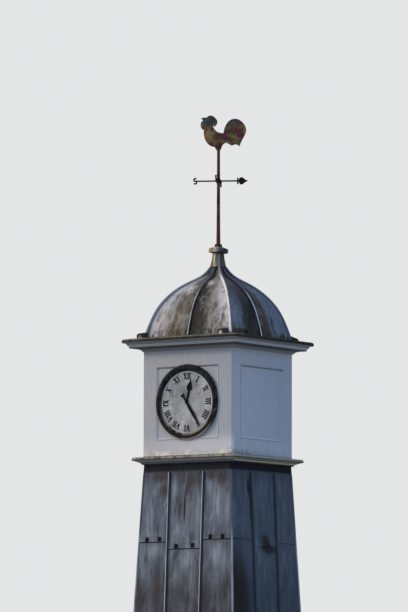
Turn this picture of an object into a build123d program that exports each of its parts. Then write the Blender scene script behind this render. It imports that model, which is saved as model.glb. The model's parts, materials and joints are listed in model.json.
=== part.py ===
from build123d import *
from math import cos, radians, sin, sqrt
import os

# A clock turret: a battered, boarded base clad in lead, a square clock stage between two
# cornices, an ogee dome with lead rolls, and a weathercock that turns on its rod.
# Millimetres. The origin is the middle of the foot, the clock faces -Y and +Z is up.

# Base
base_height = 2200.0
base_set_in = 12.0
base_splay = 106.0
board = 22.0
post = 100.0
rail_depth = 100.0
rail_thickness = 70.0
middle_rail_height = 1050.0

# Lead
lead = 3.0
lead_gap = 0.3
sheet_lap = 90.0
sheet_joggle = 22.0
sheet_foot = 8.0
sheet_head_gap = 10.0
lap_kick = 8.0
lap_kick_height = 30.0
roll_width = 32.0
roll_height = 30.0
roll_joint = 0.6
front_roll_places = (-278.0, 268.0)
side_roll_places = (-263.0, 280.0)
front_laps = (1175.0, 1079.0, 1195.0)
side_laps = (1202.0, 1120.0, 1173.0)
corner_roll_radius = 13.0
band_depth = 112.0

# Clock stage
stage_half = 705.0
stage_height = 1584.0
frame_thickness = 45.0
stile_width = 207.0
panel_foot = 314.0
panel_height = 972.0
panel_recess = 12.0
panel_thickness = 18.0
rebate = 12.0
joint = 0.3
moulding_width = 28.0
moulding_height = 18.0
bead_radius = 5.0
bead_quirk = 3.0
moulding_hollow = (20.0, 8.5)
moulding_lip = 2.0

# Cornice at the foot of the stage
lower_projection = 112.0
lower_toe = 18.0
lower_depth = 92.0
lower_bed_out = 54.0
lower_bed_rise = 30.0
lower_fillet = 9.0
fascia_out = 80.0
fascia_rise = 20.0
lower_fall = 6.0
lower_nose = 20.0
lead_turn_down = 41.0
lead_turn_up = 12.0

# Cornice at the head of the stage
upper_drop = 95.0
bed_toe = 6.0
bed_out = 58.0
bed_rise = 41.0
soffit_quirk = 8.0
crown_out = 142.0
crown_fillet = 24.0
cyma_out = 44.0
cyma_rise = 42.0
upper_nose = 26.0
upper_projection = 211.0
upper_fall = 28.0
front_top_rolls = (-647.0, 647.0)
side_top_rolls = (-647.0,)
top_roll_width = 86.0
top_roll_height = 68.0
top_roll_skin = 7.0
top_roll_recess = 10.0
top_roll_back = 30.0
under_dome = 30.0

# Dome
plate_depth = 100.0
tie_width = 75.0
dome_set_in = 17.0
dome_lean = 12.4
neck_half = 60.0
neck_rise = 968.0
shoulder_share = (0.88, 0.303)
bend_share = (0.3215, 0.794)
dome_board = 20.0
hip_roll_radius = 20.0
mid_roll_radius = 19.0
roll_sink = 0.35

# Neck, cap and vane
king_post = 74.0
sleeve_foot_radius = 102.0
sleeve_waist_radius = 80.0
sleeve_head_radius = 68.0
sleeve_height = 179.0
sleeve_lap = 14.0
sleeve_ribs = 8
rib_radius = 11.0
cap_radius = 134.0
cap_rim = 42.0
cap_cove = 22.0
cap_crown = 28.0
cap_lip = 16.0
cap_sides = 8
cap_lean = 3.5
cap_lean_heading = 35.0
collar_radius = 50.0
collar_height = 38.0
rod_foot_radius = 27.0
rod_middle_radius = 23.0
rod_head_radius = 20.0
rod_middle_rise = 420.0
rod_height = 1293.0
rod_tenon = 150.0
spindle_radius = 9.0
spindle_height = 130.0
compass_rise = 882.0
compass_hub_radius = 33.0
compass_hub_height = 52.0
compass_arm_radius = 10.0
compass_heading = 29.0
arrow_reach = 400.0
letter_reach = 330.0
cross_reach = 350.0
scroll_radius = 18.0
arrow_length = 130.0
arrow_width = 98.0
arrow_thickness = 10.0
barb_gap = 12.0
barb_height = 88.0

# Clock
dial_clearance = 2.0
dial_thickness = 18.0
bezel_lap = 44.0
bezel_width = 87.0
bezel_height = 38.0
bezel_edge = 12.0
hour_share = 0.69
minute_share = 0.838
tail_share = 0.3
stem_width = 32.0
spade_width = 84.0
hand_thickness = 4.0
hand_gap = 5.0
hour_angle = 12.2
minute_angle = 146.4
pipe_radius = 14.0
arbor_radius = 8.0
running_gap = 0.08
end_gap = 0.3
washer_radius = 24.0
collar_thickness = 6.0

# Weathercock
vane_heading = 215.0
bird_length = 610.0
vane_thickness = 10.0
socket_radius = 17.0

# How far a cutting shape runs past the work
margin = 50.0

# Levels and half widths that follow from the sizes above
head_half = stage_half - base_set_in
foot_half = head_half + base_splay
panel_half = stage_half - stile_width
dome_foot_half = stage_half - dome_set_in
dial_radius = min(panel_half, panel_height / 2) - moulding_width - dial_clearance
bezel_inner = dial_radius - bezel_lap
bezel_outer = bezel_inner + bezel_width
hour_reach = dial_radius * hour_share
minute_reach = dial_radius * minute_share
minute_tail = dial_radius * tail_share
stage_foot = base_height
stage_head = stage_foot + stage_height
lower_top = stage_foot + lower_depth
upper_start = stage_head - upper_drop
plate_top = stage_head + plate_depth
upper_top = plate_top - upper_fall
dome_foot = plate_top + lead + 2 * lead_gap
neck_top = dome_foot + neck_rise
clock_height = stage_foot + panel_foot + panel_height / 2
panel_face = stage_half - panel_recess
dial_face = panel_face + dial_thickness
sleeve_foot = neck_top - sleeve_lap
sleeve_head = sleeve_foot + sleeve_height
cap_foot = sleeve_head
cap_top = cap_foot + cap_cove + cap_rim + cap_crown
rod_head = cap_top + rod_height
compass_height = cap_top + compass_rise
reach = stage_half + upper_projection + 2 * margin
very_high = rod_head + reach

# A profile is drawn as (distance out from the axis, height) on the front's middle plane
side_plane = Plane(origin=(0, 0, 0), x_dir=(0, -1, 0), z_dir=(-1, 0, 0))
sides = ("front", "right", "back", "left")
os.makedirs("parts", exist_ok=True)


def turn(shape, side):
    # the front's shape, carried round to another side: 0 front, 1 right, 2 back, 3 left
    return Rot(0, 0, 90 * side) * shape


def save(name, *shapes):
    solids = []
    for shape in shapes:
        solids.extend(shape.solids())
    whole = solids[0] if len(solids) == 1 else Compound(children=solids)
    export_step(whole, os.path.join("parts", name + ".step"))


def around(shape):
    return [turn(shape, side) for side in range(4)]


def corner_wedge(back_off=0.0):
    # the plan triangle between a side's two mitres, each mitre moved in by back_off
    outline = Polyline(
        (0, -back_off),
        (reach - back_off, -reach),
        (back_off - reach, -reach),
        close=True,
    )
    return extrude(make_face(outline), amount=very_high)


def run(profile, back_off=0.0):
    # a side's profile, run along the front and mitred at both corners
    face = make_face(side_plane * profile)
    bar = extrude(face, amount=reach, both=True)
    return bar & corner_wedge(back_off)


def strip(low, high, inner, outer):
    # an upright rectangle in the side plane
    return Polyline((inner, low), (outer, low), (outer, high), (inner, high), close=True)


def slab(x_low, x_high):
    width = x_high - x_low
    block = Box(width, 2 * reach, very_high, align=(Align.MIN, Align.CENTER, Align.MIN))
    return Pos(x_low, 0, 0) * block


def base_face(height, out=0.0):
    # half width across the base boards, or out millimetres beyond them
    return foot_half + (head_half - foot_half) * height / base_height + out


def battered(low, high, inner, outer):
    # a strip that leans with the base, from inner to outer millimetres beyond the boards
    return Polyline(
        (base_face(low, inner), low),
        (base_face(low, outer), low),
        (base_face(high, outer), high),
        (base_face(high, inner), high),
        close=True,
    )


def base_frustum():
    foot = Rectangle(2 * foot_half, 2 * foot_half)
    head = Pos(0, 0, base_height) * Rectangle(2 * head_half, 2 * head_half)
    return loft([foot, head], ruled=True)


def base_post():
    def square(height):
        place = base_face(height, -board) - post / 2
        return Pos(place, -place, height) * Rectangle(post, post)

    return loft([square(0), square(base_height)], ruled=True)


def base_rail(low, posts):
    rail = run(battered(low, low + rail_depth, -board - rail_thickness, -board))
    for piece in posts:
        rail = rail - piece
    return max(rail.solids(), key=lambda solid: solid.volume)


def base_frame():
    posts = around(base_post())
    near = [posts[0], posts[3]]
    levels = (0, middle_rail_height, base_height - rail_depth)
    rails = []
    for level in levels:
        rails.extend(around(base_rail(level, near)))
    save("base_posts", *posts)
    save("base_rails", *rails)


def bay_edges(places, side_edge):
    clear = roll_width / 2 + roll_joint
    edges = [-side_edge]
    for place in places:
        edges.extend((place - clear, place + clear))
    edges.append(side_edge)
    return list(zip(edges[0::2], edges[1::2]))


def base_sheets(places, laps):
    # two rows of lead, the upper dressed over the head of the lower and kicked out at its foot
    sheets = []
    upper_out = lead + 2 * lead_gap
    edge = corner_roll_radius + roll_joint + upper_out + lead
    for bay, lap in zip(bay_edges(places, reach), laps):
        lower = battered(sheet_foot, lap + sheet_lap, lead_gap, lead_gap + lead)
        set_back = lap + lap_kick_height
        tuck = lap + sheet_lap + lead_gap
        settle = tuck + sheet_joggle
        sheet_head = base_height - sheet_head_gap
        upper = Polyline(
            (base_face(lap, upper_out + lap_kick), lap),
            (base_face(lap, upper_out + lap_kick + lead), lap),
            (base_face(set_back, upper_out + lead), set_back),
            (base_face(tuck, upper_out + lead), tuck),
            (base_face(settle, lead_gap + lead), settle),
            (base_face(sheet_head, lead_gap + lead), sheet_head),
            (base_face(sheet_head, lead_gap), sheet_head),
            (base_face(settle, lead_gap), settle),
            (base_face(tuck, upper_out), tuck),
            (base_face(set_back, upper_out), set_back),
            close=True,
        )
        limits = slab(*bay)
        sheets.append(run(lower, edge) & limits)
        sheets.append(run(upper, edge) & limits)
    return sheets


def roll_section(width, height):
    # straight sides under a half-round back
    half = width / 2
    rise = height - half
    return make_face([
        Line((-half, 0), (half, 0)),
        Line((half, 0), (half, rise)),
        ThreePointArc((half, rise), (0, height), (-half, rise)),
        Line((-half, rise), (-half, 0)),
    ])


def base_roll(place):
    low = sheet_foot
    high = base_height - band_depth

    def section(height):
        level = Plane(
            origin=(place, -base_face(height, lead_gap), height),
            x_dir=(-1, 0, 0),
            z_dir=(0, 0, 1),
        )
        return level * roll_section(roll_width, roll_height)

    return loft([section(low), section(high)], ruled=True)


def corner_roll(boards):
    low = sheet_foot
    high = base_height - band_depth

    def section(height):
        place = base_face(height)
        return Pos(place, -place, height) * Circle(corner_roll_radius)

    rod = loft([section(low), section(high)], ruled=True)
    return rod - boards


def lead_band():
    inner = lead + 2 * lead_gap
    return run(battered(base_height - band_depth, base_height - lead_gap, inner, inner + lead), joint)


def base():
    base_frame()
    boards = run(battered(0, base_height, -board, 0))
    for side, name in enumerate(sides):
        save("base_boarding_" + name, turn(boards, side))
    front = base_sheets(front_roll_places, front_laps)
    plain = base_sheets(side_roll_places, side_laps)
    save("base_lead_front", *front)
    for side, name in enumerate(sides):
        if side:
            save("base_lead_" + name, *[turn(sheet, side) for sheet in plain])
    rolls = [base_roll(place) for place in front_roll_places]
    for side in (1, 2, 3):
        rolls.extend(turn(base_roll(place), side) for place in side_roll_places)
    save("base_rolls", *rolls)
    save("base_corner_rolls", *around(corner_roll(base_frustum())))
    save("base_head_band", *around(lead_band()))


def cyma(start, end):
    # a cyma recta: hollow above, round below, meeting upright at the middle
    middle = ((start[0] + end[0]) / 2, (start[1] + end[1]) / 2)
    hollow = TangentArc(start, middle, tangent=(1, 0.25))
    rise = TangentArc(middle, end, tangent=hollow % 1)
    return [hollow, rise]


def nosing(lip, top, radius):
    # the quarter round on a cornice's lip, from its face up to its top
    bend = radius * (1 - sqrt(0.5))
    return ThreePointArc((lip, top - radius), (lip - bend, top - bend), (lip - radius, top))


def lead_cover(lip, top, radius, inside, outside):
    # lead turned down over a lip's nosing, then in to the wall by the two lists of points
    drip = top - lead_turn_down
    near = nosing(lip + lead_gap, top + lead_gap, radius + lead_gap)
    far = nosing(lip + lead_gap + lead, top + lead_gap + lead, radius + lead_gap + lead)
    under = Polyline(near @ 1, *inside)
    over = Polyline(far @ 1, *outside)
    return Wire([
        Line((lip + lead_gap, drip), near @ 0),
        near,
        *under.edges(),
        Line(under @ 1, over @ 1),
        *over.edges(),
        far,
        Line(far @ 0, (lip + lead_gap + lead, drip)),
        Line((lip + lead_gap + lead, drip), (lip + lead_gap, drip)),
    ])


def lower_cornice():
    # from the wall up: toe, cavetto, fillet, fascia and a rounded lip
    wall = stage_half
    toe = (wall + lower_toe, stage_foot + lower_fillet)
    bed = (wall + lower_bed_out, stage_foot + lower_bed_rise)
    fillet_top = stage_foot + lower_bed_rise + lower_fillet
    fascia = wall + fascia_out
    fascia_top = fillet_top + fascia_rise
    lip = wall + lower_projection - lead - lead_gap
    wall_top = lower_top + lower_fall
    outline = [
        *Polyline((wall, wall_top), (wall, stage_foot), (toe[0], stage_foot), toe).edges(),
        RadiusArc(toe, bed, lower_bed_out),
        *Polyline(
            bed,
            (bed[0], fillet_top),
            (fascia, fillet_top),
            (fascia, fascia_top),
            (lip, fascia_top),
            (lip, lower_top - lower_nose),
        ).edges(),
        nosing(lip, lower_top, lower_nose),
        Line((lip - lower_nose, lower_top), (wall, wall_top)),
    ]
    timber = run(Wire(outline))
    near = wall + lead_gap
    far = near + lead
    turned_up = wall_top + lead_turn_up
    inside = [(near, wall_top + lead_gap), (near, turned_up)]
    outside = [(far, wall_top + lead_gap + lead), (far, turned_up)]
    cover = lead_cover(lip, lower_top, lower_nose, inside, outside)
    for side, name in enumerate(sides):
        save("lower_cornice_" + name, turn(timber, side))
    save("lower_cornice_lead", *around(run(cover, joint)))


def stage_post():
    place = stage_half - frame_thickness - post / 2
    block = Box(post, post, stage_height, align=(Align.CENTER, Align.CENTER, Align.MIN))
    return Pos(place, -place, stage_foot) * block


def stage_frame():
    blank = run(strip(stage_foot, stage_head, stage_half - frame_thickness, stage_half))
    opening_foot = stage_foot + panel_foot
    opening_head = opening_foot + panel_height
    lining = Box(
        2 * (panel_half + rebate),
        frame_thickness - panel_recess,
        panel_height + 2 * rebate,
        align=(Align.CENTER, Align.MIN, Align.CENTER),
    )
    blank = blank - Pos(0, -panel_face, clock_height) * lining
    left = blank & slab(-reach, -panel_half)
    right = blank & slab(panel_half, reach)
    between = blank & slab(joint - panel_half, panel_half - joint)
    below = Box(2 * reach, 2 * reach, opening_foot, align=(Align.CENTER, Align.CENTER, Align.MIN))
    above = Pos(0, 0, opening_head) * Box(
        2 * reach, 2 * reach, reach, align=(Align.CENTER, Align.CENTER, Align.MIN)
    )
    return [left, right, between & below, between & above]


def stage_panel(bored):
    panel = Box(
        2 * (panel_half + rebate - joint),
        panel_thickness,
        panel_height + 2 * (rebate - joint),
        align=(Align.CENTER, Align.MIN, Align.CENTER),
    )
    panel = Pos(0, -panel_face, clock_height) * panel
    if bored:
        panel = panel - clock_rod(pipe_radius + running_gap, panel_face - margin, panel_face + margin)
    return panel


def moulding_length(length, place, spin):
    # one mitred length of bead and quarter-round moulding, on the edge of a panel
    width = moulding_width
    step = moulding_height - bead_radius
    bead_end = 2 * bead_radius
    quirk = step - bead_quirk
    section = Wire(
        [
            Line((0, 0), (0, step)),
            ThreePointArc((0, step), (bead_radius, moulding_height), (bead_end, step)),
            Line((bead_end, step), (bead_end, quirk)),
            ThreePointArc((bead_end, quirk), moulding_hollow, (width, moulding_lip)),
            Line((width, moulding_lip), (width, 0)),
            Line((width, 0), (0, 0)),
        ]
    )
    across = Plane(origin=(0, -panel_face, 0), x_dir=(0, 0, 1), z_dir=(1, 0, 0))
    face = make_face(across * section)
    bar = extrude(face, amount=length, both=True)
    half = length / 2
    keep = Polyline((-half, 0), (half, 0), (half - width, width), (width - half, width), close=True)
    front = Plane(origin=(0, 0, 0), x_dir=(1, 0, 0), z_dir=(0, -1, 0))
    trim = extrude(make_face(front * keep), amount=reach)
    piece = bar & trim
    return Pos(place[0], 0, clock_height + place[1]) * (Rot(0, spin, 0) * piece)


def panel_moulding():
    rise = panel_height / 2
    width = 2 * panel_half
    return [
        moulding_length(width, (0, -rise), 0),
        moulding_length(panel_height, (-panel_half, 0), 90),
        moulding_length(width, (0, rise), 180),
        moulding_length(panel_height, (panel_half, 0), 270),
    ]


def stage():
    save("stage_posts", *around(stage_post()))
    frame = stage_frame()
    for side, name in enumerate(sides):
        save("stage_frame_" + name, *[turn(piece, side) for piece in frame])
    panels = [turn(stage_panel(side == 0), side) for side in range(4)]
    save("stage_panels", *panels)
    trim = []
    for side in range(4):
        trim.extend(turn(piece, side) for piece in panel_moulding())
    save("panel_mouldings", *trim)


def upper_cornice():
    # from the wall up: bed moulding, soffit, fillet, cyma and a rounded lip
    wall = stage_half
    toe = wall + bed_toe
    bed = (wall + bed_out, upper_start + bed_rise)
    crown = upper_start + bed_rise + soffit_quirk
    fillet = wall + crown_out
    cyma_foot = crown + crown_fillet
    cyma_head = cyma_foot + cyma_rise
    lip = wall + upper_projection - lead - lead_gap
    outline = [
        *Polyline((wall, plate_top), (wall, upper_start), (toe, upper_start)).edges(),
        RadiusArc((toe, upper_start), bed, 2 * bed_out),
        *Polyline(bed, (bed[0], crown), (fillet, crown), (fillet, cyma_foot)).edges(),
        *cyma((fillet, cyma_foot), (fillet + cyma_out, cyma_head)),
        Line((fillet + cyma_out, cyma_head), (lip, cyma_head)),
        Line((lip, cyma_head), (lip, upper_top - upper_nose)),
        nosing(lip, upper_top, upper_nose),
        Line((lip - upper_nose, upper_top), (wall, plate_top)),
    ]
    timber = run(Wire(outline))
    for side, name in enumerate(sides):
        save("upper_cornice_" + name, turn(timber, side))
    front = cornice_cover(lip, front_top_rolls)
    plain = cornice_cover(lip, side_top_rolls)
    save("upper_cornice_lead", front, *[turn(plain, side) for side in (1, 2, 3)])


def cornice_cover(lip, places):
    # the lead weathering with its short rolls, fused as the lead is dressed over them
    wall = stage_half
    back = dome_foot_half - under_dome
    near = plate_top + lead_gap
    far = near + lead
    inside = [(wall, near), (back, near)]
    outside = [(wall, far), (back, far)]
    sheet = run(lead_cover(lip, upper_top, upper_nose, inside, outside), joint)
    flat_end = lip - upper_nose
    slope = upper_fall / (flat_end - wall)
    start = wall + top_roll_back
    fall = Vector(0, -1, -slope).normalized()
    for place in places:

        def section(out, trim):
            level = far - slope * (out - wall) - lead / 2
            front = Plane(origin=(place, -out, level), x_dir=(1, 0, 0), z_dir=fall)
            return front * roll_section(top_roll_width - 2 * trim, top_roll_height - trim)

        roll = loft([section(start, 0), section(flat_end, 0)], ruled=True)
        core_face = flat_end - top_roll_recess
        recess_ends = [section(core_face, top_roll_skin), section(flat_end + lead, top_roll_skin)]
        recess = loft(recess_ends, ruled=True)
        above = Polyline(
            (wall, far),
            (wall, far + margin),
            (flat_end + margin, far + margin),
            (flat_end + margin, far - slope * (flat_end + margin - wall)),
            close=True,
        )
        kept = extrude(make_face(side_plane * above), amount=reach, both=True)
        sheet = sheet + (roll - (recess & kept))
    return sheet


def dome_curve(out=0.0):
    # the ogee from foot to neck as three arcs that run on smoothly, out beyond the lead face
    start = (sin(-radians(dome_lean)), cos(radians(dome_lean)))
    points = (
        (dome_foot_half, dome_foot),
        (dome_foot_half * shoulder_share[0], dome_foot + neck_rise * shoulder_share[1]),
        (dome_foot_half * bend_share[0], dome_foot + neck_rise * bend_share[1]),
        (neck_half, neck_top),
    )
    arcs = []
    tangent = Vector(*start)
    for low, high in zip(points, points[1:]):
        arc = TangentArc(low, high, tangent=tangent)
        tangent = arc % 1
        arcs.append(arc)
    if out == 0.0:
        return arcs
    moved = []
    for arc in arcs:
        ends = []
        for at in (0, 1):
            along = arc % at
            ends.append(arc @ at + Vector(along.Y, -along.X) * out)
        moved.append(TangentArc(ends[0], ends[1], tangent=arc % 0))
    return moved


def dome_shell(inner, outer, back_off):
    # a side of the dome between two offsets of the ogee
    inside = dome_curve(inner)
    outside = dome_curve(outer)
    foot = Line(inside[0] @ 0, outside[0] @ 0)
    head = Line(inside[-1] @ 1, outside[-1] @ 1)
    side = run(Wire([*inside, *outside, foot, head]), back_off)
    level = Pos(0, 0, dome_foot) * Box(
        2 * reach, 2 * reach, reach, align=(Align.CENTER, Align.CENTER, Align.MIN)
    )
    return side & level


def dome_solid(out):
    # everything under the ogee, out millimetres beyond the lead face
    curve = dome_curve(out)
    foot = curve[0] @ 0
    head = curve[-1] @ 1
    lines = [
        Line(head, (0, head.Y)),
        Line((0, head.Y), (0, dome_foot - margin)),
        Line((0, dome_foot - margin), (foot.X, dome_foot - margin)),
        Line((foot.X, dome_foot - margin), foot),
    ]
    face = make_face(side_plane * Wire([*curve, *lines]))
    half = extrude(face, amount=reach, both=True)
    return half


def dome_roll(stretch, radius, turn_by):
    # a roll swept up the ogee, either on the middle of a side or on a hip
    points = []
    curve = dome_curve(radius * (1 - 2 * roll_sink) / 2)
    for arc in curve:
        for step in range(4):
            points.append(arc @ (step / 4))
    points.append(curve[-1] @ 1)
    path = Spline(*[(0, -point.X * stretch, point.Y) for point in points])
    disc = Plane(origin=path @ 0, z_dir=path % 0) * Circle(radius)
    tube = sweep(disc, path=path)
    rise = sleeve_foot - joint - dome_foot - lead_gap
    level = Pos(0, 0, dome_foot + lead_gap) * Box(
        3 * reach, 3 * reach, rise, align=(Align.CENTER, Align.CENTER, Align.MIN)
    )
    return Rot(0, 0, turn_by) * (tube & level)


def dome():
    # four mitred plates on the stage, one tie right across it and two half ties to its middle
    plate_back = stage_half - post
    plate = run(strip(stage_head, plate_top, plate_back, stage_half), joint)
    tie_end = plate_back - joint
    low = Align.MIN
    middle = Align.CENTER
    tie = Box(2 * tie_end, tie_width, plate_depth, align=(middle, middle, low))
    half_start = tie_width / 2 + joint
    half_tie = Box(tie_width, tie_end - half_start, plate_depth, align=(middle, low, low))
    half_tie = Pos(0, half_start, 0) * half_tie
    ties = [Pos(0, 0, stage_head) * piece for piece in (tie, half_tie, turn(half_tie, 2))]
    save("dome_frame", *around(plate), *ties)
    boards = dome_shell(-lead - lead_gap - dome_board, -lead - lead_gap, joint)
    save("dome_boarding", *around(boards))
    gore = dome_shell(-lead, 0, joint)
    left = gore & slab(-reach, -joint)
    right = gore & slab(joint, reach)
    save("dome_lead", *around(left), *around(right))
    body = dome_solid(lead_gap)
    hip = dome_roll(sqrt(2), hip_roll_radius, 45) - (body & turn(body, 1))
    middle = dome_roll(1, mid_roll_radius, 0) - body
    save("dome_hip_rolls", *around(hip))
    save("dome_mid_rolls", *around(middle))


def revolve_profile(lines):
    face = make_face(Plane.XZ * Wire(lines))
    return revolve(face, axis=Axis.Z)


def cylinder(radius, low, high):
    return Pos(0, 0, low) * Cylinder(
        radius, high - low, align=(Align.CENTER, Align.CENTER, Align.MIN)
    )


def sleeve_body(inset):
    # the sleeve's waisted round body, inset from its face
    foot = sleeve_foot
    waist = foot + 0.42 * sleeve_height
    side = Spline(
        (sleeve_foot_radius - inset, foot),
        (sleeve_waist_radius - inset, waist),
        (sleeve_head_radius - inset, sleeve_head),
    )
    outline = [
        Line((0, foot), side @ 0),
        side,
        Line(side @ 1, (0, sleeve_head)),
        Line((0, sleeve_head), (0, foot)),
    ]
    return revolve_profile(outline), Plane.XZ * side


def neck():
    # the king post is turned to a finial above the dome, and lead is dressed over it
    under = dome_solid(lead_gap)
    under = under & turn(under, 1)
    sleeve, side = sleeve_body(0)
    disc = Plane(origin=side @ 0, z_dir=side % 0) * Circle(rib_radius)
    rib = sweep(disc, path=side)
    for index in range(sleeve_ribs):
        sleeve = sleeve + Rot(0, 0, 360 / sleeve_ribs * index) * rib
    sleeve = sleeve & cylinder(reach, sleeve_foot, sleeve_head)
    core, _ = sleeve_body(lead + lead_gap)
    save("neck_sleeve", sleeve - core - under)
    core = core & cylinder(reach, neck_top + joint, sleeve_head)
    shaft = cylinder(king_post / 2, plate_top, neck_top + 2 * joint)
    rod_hole = cylinder(rod_foot_radius + joint, cap_foot - rod_tenon, cap_foot + margin)
    save("king_post", shaft + core - rod_hole)


def cap():
    # a round cove under a faceted rim with a hipped top; the rim has settled out of level
    rim_foot = cap_foot + cap_cove
    under = cap_radius - cap_lip
    seat_radius = collar_radius + lead
    cove = revolve_profile([
        Line((0, cap_foot), (sleeve_head_radius, cap_foot)),
        RadiusArc((sleeve_head_radius, cap_foot), (under, rim_foot), 2 * cap_rim),
        Line((under, rim_foot), (0, rim_foot)),
        Line((0, rim_foot), (0, cap_foot)),
    ])
    drop = cap_radius * sin(radians(cap_lean))
    outline = RegularPolygon(cap_radius, cap_sides, rotation=180 / cap_sides)
    crown = RegularPolygon(seat_radius, cap_sides, rotation=180 / cap_sides)
    rim = Pos(0, 0, -drop) * extrude(outline, amount=cap_rim + drop)
    rim = rim + loft([Pos(0, 0, cap_rim) * outline, Pos(0, 0, cap_rim + cap_crown) * crown], ruled=True)
    way = Rot(0, 0, cap_lean_heading)
    rim = Pos(0, 0, rim_foot) * (way * Rot(0, cap_lean, 0) * way.inverse() * rim)
    seat = cylinder(seat_radius, rim_foot, cap_top)
    clear = cylinder(seat_radius, cap_top, cap_top + margin)
    hole = cylinder(rod_foot_radius + joint, cap_foot - margin, cap_top + margin)
    save("neck_cap", cove + rim + seat - clear - hole)


def vane_rod():
    low = cap_foot - rod_tenon
    middle = cap_top + rod_middle_rise
    outline = [
        Line((0, low), (rod_foot_radius, low)),
        Line((rod_foot_radius, low), (rod_foot_radius, cap_top + collar_height)),
        Line((rod_foot_radius, cap_top + collar_height), (rod_middle_radius, middle)),
        Line((rod_middle_radius, middle), (rod_head_radius, rod_head)),
        Line((rod_head_radius, rod_head), (spindle_radius, rod_head)),
        Line((spindle_radius, rod_head), (spindle_radius, rod_head + spindle_height)),
        Line((spindle_radius, rod_head + spindle_height), (0, rod_head + spindle_height)),
        Line((0, rod_head + spindle_height), (0, low)),
    ]
    rod = revolve_profile(outline)
    collar = cylinder(collar_radius, cap_top + joint, cap_top + collar_height)
    collar = chamfer(collar.edges().group_by(Axis.Z)[-1], collar_height / 4)
    return rod + collar


def rod_radius(height):
    # the rod's taper above its middle
    rise = (height - cap_top - rod_middle_rise) / (rod_height - rod_middle_rise)
    return rod_middle_radius + (rod_head_radius - rod_middle_radius) * rise


def side_scroll(reach_out):
    # an arm that ends in an upright S of round bar, centred on the arm's line
    middle = reach_out - scroll_radius
    turn_x = scroll_radius * cos(radians(30))
    turn_z = scroll_radius * sin(radians(30))
    upper = ThreePointArc(
        (middle - turn_x, scroll_radius + turn_z),
        (middle + turn_x, scroll_radius + turn_z),
        (middle, 0),
    )
    lower = ThreePointArc(
        (middle, 0),
        (middle - turn_x, -scroll_radius - turn_z),
        (middle + turn_x, -scroll_radius - turn_z),
    )
    path = Plane.XZ * Wire([upper, lower])
    disc = Plane(origin=path @ 0, z_dir=path % 0) * Circle(compass_arm_radius)
    arm = Rot(0, 90, 0) * cylinder(compass_arm_radius, 0, middle)
    return arm + sweep(disc, path=path)


def arrow():
    # an arm with a heart-shaped head and a barb behind it
    half = arrow_width / 2
    back = arrow_reach - arrow_length
    edge = Spline(
        (back, 0),
        (back + 0.3 * arrow_length, half),
        (arrow_reach, 0),
        tangents=[(0, 1), (1, -0.3)],
    )
    upper = make_face(Wire([edge, Line((arrow_reach, 0), (back, 0))]))
    head = upper + mirror(upper, about=Plane.XZ)
    plate = extrude(Plane.XZ * head, amount=arrow_thickness / 2, both=True)
    arm = Rot(0, 90, 0) * cylinder(compass_arm_radius, 0, back + compass_arm_radius)
    barb = Pos(back - barb_gap, 0, 0) * Cylinder(compass_arm_radius, barb_height)
    return plate + arm + barb


def compass():
    # four arms on a hub, an arrow on one and a scroll on each of the others
    hub_foot = compass_height - compass_hub_height / 2
    hub_head = compass_height + compass_hub_height / 2
    hub = cylinder(compass_hub_radius, hub_foot, hub_head)
    hub = chamfer(hub.edges().group_by(Axis.Z)[-1], compass_arm_radius / 2)
    arms = Pos(0, 0, compass_height) * arrow()
    for quarter, length in ((1, cross_reach), (2, letter_reach), (3, cross_reach)):
        arms = arms + Rot(0, 0, 90 * quarter) * (Pos(0, 0, compass_height) * side_scroll(length))
    arms = Rot(0, 0, compass_heading) * (hub + arms)
    bore = cylinder(rod_radius(hub_foot) + joint, hub_foot - margin, hub_head + margin)
    save("compass_arms", arms - bore)


def spots(*shares):
    # places on the bird, as shares of its length from its foot, the beak towards -X
    return [(along * bird_length, up * bird_length) for along, up in shares]


def bird_plate():
    # what is cut from flat sheet: tail, comb with ear lobe, beak and legs
    tail_edge = Spline(*spots(
        (0.1, 0.3), (0.14, 0.515), (0.25, 0.665), (0.37, 0.697), (0.54, 0.6),
        (0.603, 0.445), (0.54, 0.275), (0.464, 0.085),
    ))
    tail = make_face(Wire([
        tail_edge,
        ThreePointArc(*spots((0.464, 0.085), (0.365, 0.13), (0.29, 0.1))),
        ThreePointArc(*spots((0.29, 0.1), (0.235, 0.135), (0.17, 0.165))),
        Line(*spots((0.17, 0.165), (0.1, 0.3))),
    ]))
    comb_edge = Spline(*spots(
        (-0.27, 0.69), (-0.24, 0.745), (-0.165, 0.767), (-0.085, 0.725), (-0.03, 0.65), (-0.058, 0.55),
    ))
    comb = make_face(Wire([
        comb_edge,
        ThreePointArc(*spots((-0.058, 0.55), (-0.08, 0.525), (-0.105, 0.53))),
        Line(*spots((-0.105, 0.53), (-0.27, 0.69))),
    ]))
    beak = make_face(Wire([
        ThreePointArc(*spots((-0.24, 0.715), (-0.33, 0.718), (-0.397, 0.69))),
        ThreePointArc(*spots((-0.397, 0.69), (-0.36, 0.682), (-0.34, 0.66))),
        Line(*spots((-0.34, 0.66), (-0.24, 0.6))),
        Line(*spots((-0.24, 0.6), (-0.24, 0.715))),
    ]))
    legs = make_face(Polyline(*spots((-0.1, 0.1), (-0.045, 0), (0.04, 0), (0.09, 0.12)), close=True))
    outlines = Plane.XZ * (tail + comb + beak + legs)
    return extrude(outlines, amount=vane_thickness / 2, both=True)


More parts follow.
